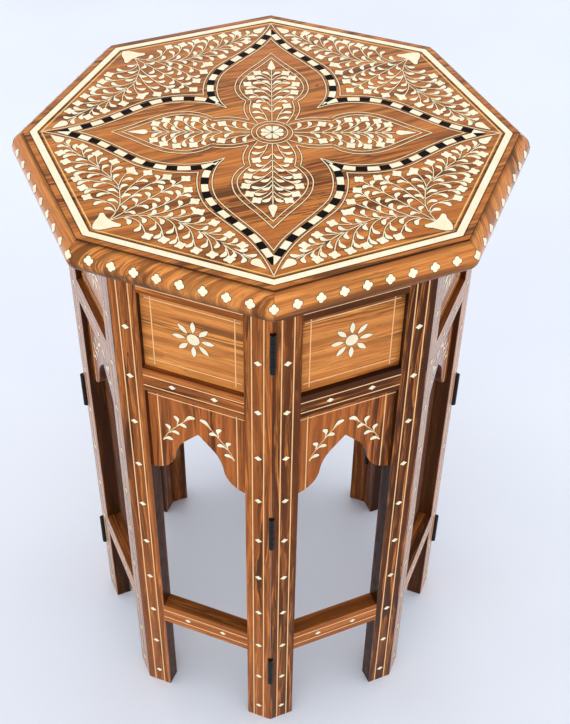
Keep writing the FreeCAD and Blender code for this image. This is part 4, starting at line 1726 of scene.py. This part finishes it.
IRON = Ironwork("blackened hinge iron", (0.008, 0.0075, 0.0075), (0.1, 0.095, 0.09), 0.3, 0.5)
STEEL = Ironwork("plain screw steel", (0.35, 0.34, 0.33), (0.6, 0.59, 0.57), 0.7, 0.34)


@dataclass
class Dressing:
    """Finishes of the CAD solids.

    Attributes:
        shop: shared node groups.
        finishes: material for each inlay stuff.
        nodes: the frame's CAD objects by name.
        stile_tones: darkness of each panel's left and right stile.
        rail_tones: darkness of each panel's stretcher and upper rails.
    """

    shop: Workshop
    finishes: Finishes
    nodes: dict[str, bpy.types.Object]
    stile_tones: Line = (
        (0.84, 0.9), (0.7, 0.45), (0.5, 0.8), (0.6, 0.3), (0.5, 0.7), (0.8, 0.4), (0.6, 0.75),
        (0.55, 0.48))
    rail_tones: Line = (
        (0.4, 0.95), (0.3, 0.5), (0.45, 0.7), (0.2, 0.4), (0.35, 0.6), (0.5, 0.75), (0.2, 0.5),
        (0.3, 0.45))

    PANEL_STEP: ClassVar[float] = 3.7

    def paint(self, node: str, material: Material) -> None:
        """Gives a CAD node its finish.

        Args:
            node: the node's name.
            material: its finish.
        """
        slots = self.nodes[node].material_slots
        if not slots:
            raise RuntimeError(f"{node} has no material slot")
        for slot in slots:
            slot.material = material
        log.info("%s: %s", node, material.name)

    def dress_top(self) -> None:
        """Finishes the board, mouldings and border strips."""
        self.paint("top_board", TOP_BOARD.make(self.shop))
        self.paint("top_edge_mouldings", TOP_EDGE.make(self.shop))
        self.paint("top_border_band", self.finishes[Inlay.BONE])
        self.paint("top_border_line", self.finishes[Inlay.WIRE])

    def dress_panels(self) -> None:
        """Finishes the frames and boards of the eight panels."""
        for side in range(SIDES):
            panel = f"panel_{side + 1}"
            tones = {"stiles": self.stile_tones[side], "rails": self.rail_tones[side]}
            for node, timber in PANEL_TIMBERS.items():
                place = self.PANEL_STEP * side + timber.place
                own = replace(timber, name=f"{panel} {timber.name}", turn=side_turn(side), place=place,
                              tones=tones.get(node, timber.tones))
                self.paint(f"{panel}_{node}", own.make(self.shop))

    def dress_hinges(self) -> None:
        """Finishes the hinge leaves, pins and screws."""
        iron, steel = IRON.make(self.shop), STEEL.make(self.shop)
        for name in self.nodes:
            if name.endswith(("_hinge_leaves", "_hinge_pins")):
                self.paint(name, iron)
            elif name.endswith("_hinge_screws"):
                self.paint(name, steel)


# Studio


@dataclass(frozen=True)
class Lamp:
    """A soft square light that faces the table.

    Attributes:
        name: the light's name.
        place: where it hangs.
        size: its side, in metres.
        power: its power, in watts.
    """

    name: str
    place: Place
    size: float
    power: float

    AIM: ClassVar[Place] = (0.0, 0.0, 0.3)

    def hang(self) -> None:
        """Hangs the light."""
        lamp = bpy.data.lights.new(self.name, "AREA")
        lamp.shape = "SQUARE"
        lamp.size = self.size
        lamp.energy = self.power
        light = put(self.name, lamp)
        light.location = self.place
        light.rotation_euler = (Vector(self.AIM) - Vector(self.place)).to_track_quat("-Z", "Y").to_euler()


@dataclass
class Studio:
    """Pale floor, soft light and the camera.

    Attributes:
        spot: the camera's place, in metres.
        pitch: how far it looks down.
        yaw: how far it looks to the right of +Y.
        roll: its tilt about the view.
        lens: focal length in millimetres.
        sensor: sensor length along the image's long side, in millimetres.
        floor_half: half the floor's width, in metres.
        floor_gap: how far the floor lies below the feet, in metres.
        paper: two colours of the floor, which blend softly.
        paper_span: noise over which they blend.
        paper_roughness: roughness of the floor.
        air: colour of the surround.
        surround: brightness of the surround near the floor and overhead.
        surround_span: upward share of a direction over which it changes.
        lamps: the lights.
    """

    spot: Place = (-0.0082, -0.8311, 1.0908)
    pitch: float = math.radians(42.67)
    yaw: float = math.radians(1.48)
    roll: float = math.radians(1.0)
    lens: float = 60.96
    sensor: float = 36.0
    floor_half: float = 60.0
    floor_gap: float = 0.0002
    paper: tuple[Colour, Colour] = ((0.78, 0.82, 0.9), (0.81, 0.85, 0.92))
    paper_span: Point = (0.3, 0.7)
    paper_roughness: float = 0.7
    air: Colour = (0.93, 0.95, 1.0)
    surround: Point = (1.9, 0.82)
    surround_span: Point = (0.0, 0.7)
    lamps: tuple[Lamp, ...] = (Lamp("overhead_light", (0.1, 0.2, 2.8), 3.0, 17.0),
                               Lamp("front_light", (-0.5, -2.6, 1.9), 2.0, 13.0))

    def build(self) -> None:
        """Builds the whole studio."""
        bpy.context.scene.view_settings.view_transform = "Standard"
        self.build_floor()
        self.build_surround()
        for lamp in self.lamps:
            lamp.hang()
        self.build_camera()

    def build_floor(self) -> None:
        """Lays a plain pale floor just under the feet."""
        mesh = bmesh.new()
        bmesh.ops.create_grid(mesh, x_segments=1, y_segments=1, size=self.floor_half)
        bmesh.ops.translate(mesh, vec=(0.0, 0.0, -self.floor_gap), verts=mesh.verts)
        material, bench, shader = start_material("studio paper")
        soft = bench.ramp(bench.noise(bench.seat(), scale=3.0, detail=2.0), self.paper_span)
        bench.fill(shader, {"Base Color": bench.blend(soft, *self.paper), "Roughness": self.paper_roughness})
        floor = put_mesh("studio_floor", mesh, material)

    def build_surround(self) -> None:
        """Puts the table in a pale surround, brighter near the floor."""
        world = bpy.data.worlds.new("studio surround")
        bpy.context.scene.world = world
        world.use_nodes = True
        bench = NodeBench(world.node_tree)
        upward = bench.split(bench.add("TexCoord").outputs["Generated"])["Z"]
        strength = bench.ramp(upward, self.surround_span, self.surround)
        bench.fill(world.node_tree.nodes["Background"], {"Color": (*self.air, 1.0), "Strength": strength})

    def build_camera(self) -> None:
        """Sets the camera at the photograph's angle."""
        level = Vector((math.cos(self.yaw), -math.sin(self.yaw), 0.0))
        ahead = Vector((math.sin(self.yaw), math.cos(self.yaw), 0.0))
        forward = math.cos(self.pitch) * ahead - Vector((0.0, 0.0, math.sin(self.pitch)))
        above = level.cross(forward)
        right = math.cos(self.roll) * level + math.sin(self.roll) * above
        up = math.cos(self.roll) * above - math.sin(self.roll) * level
        data = bpy.data.cameras.new("camera")
        data.lens = self.lens
        data.sensor_width = self.sensor
        data.sensor_fit = "AUTO"
        camera = put("camera", data)
        turn = Matrix((right, up, -forward)).transposed()
        camera.matrix_world = Matrix.Translation(self.spot) @ turn.to_4x4()
        bpy.context.scene.camera = camera


def main() -> None:
    """Loads the frame, dresses it, sets the inlay and builds the studio."""
    logging.basicConfig(level=logging.INFO, format="%(message)s")
    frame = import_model()
    shop = Workshop()
    finishes = {stuff: finish.make(shop) for stuff, finish in INLAY_FINISHES.items()}
    dressing = Dressing(shop, finishes, frame["nodes"])
    dressing.dress_top()
    dressing.dress_panels()
    dressing.dress_hinges()
    for kind in (StarBand, PetalSprigs, CornerFoliage, Rosette, RimStars, PanelInlay):
        kind(finishes).build()
    Studio().build()


if __name__ == "__main__":
    main()
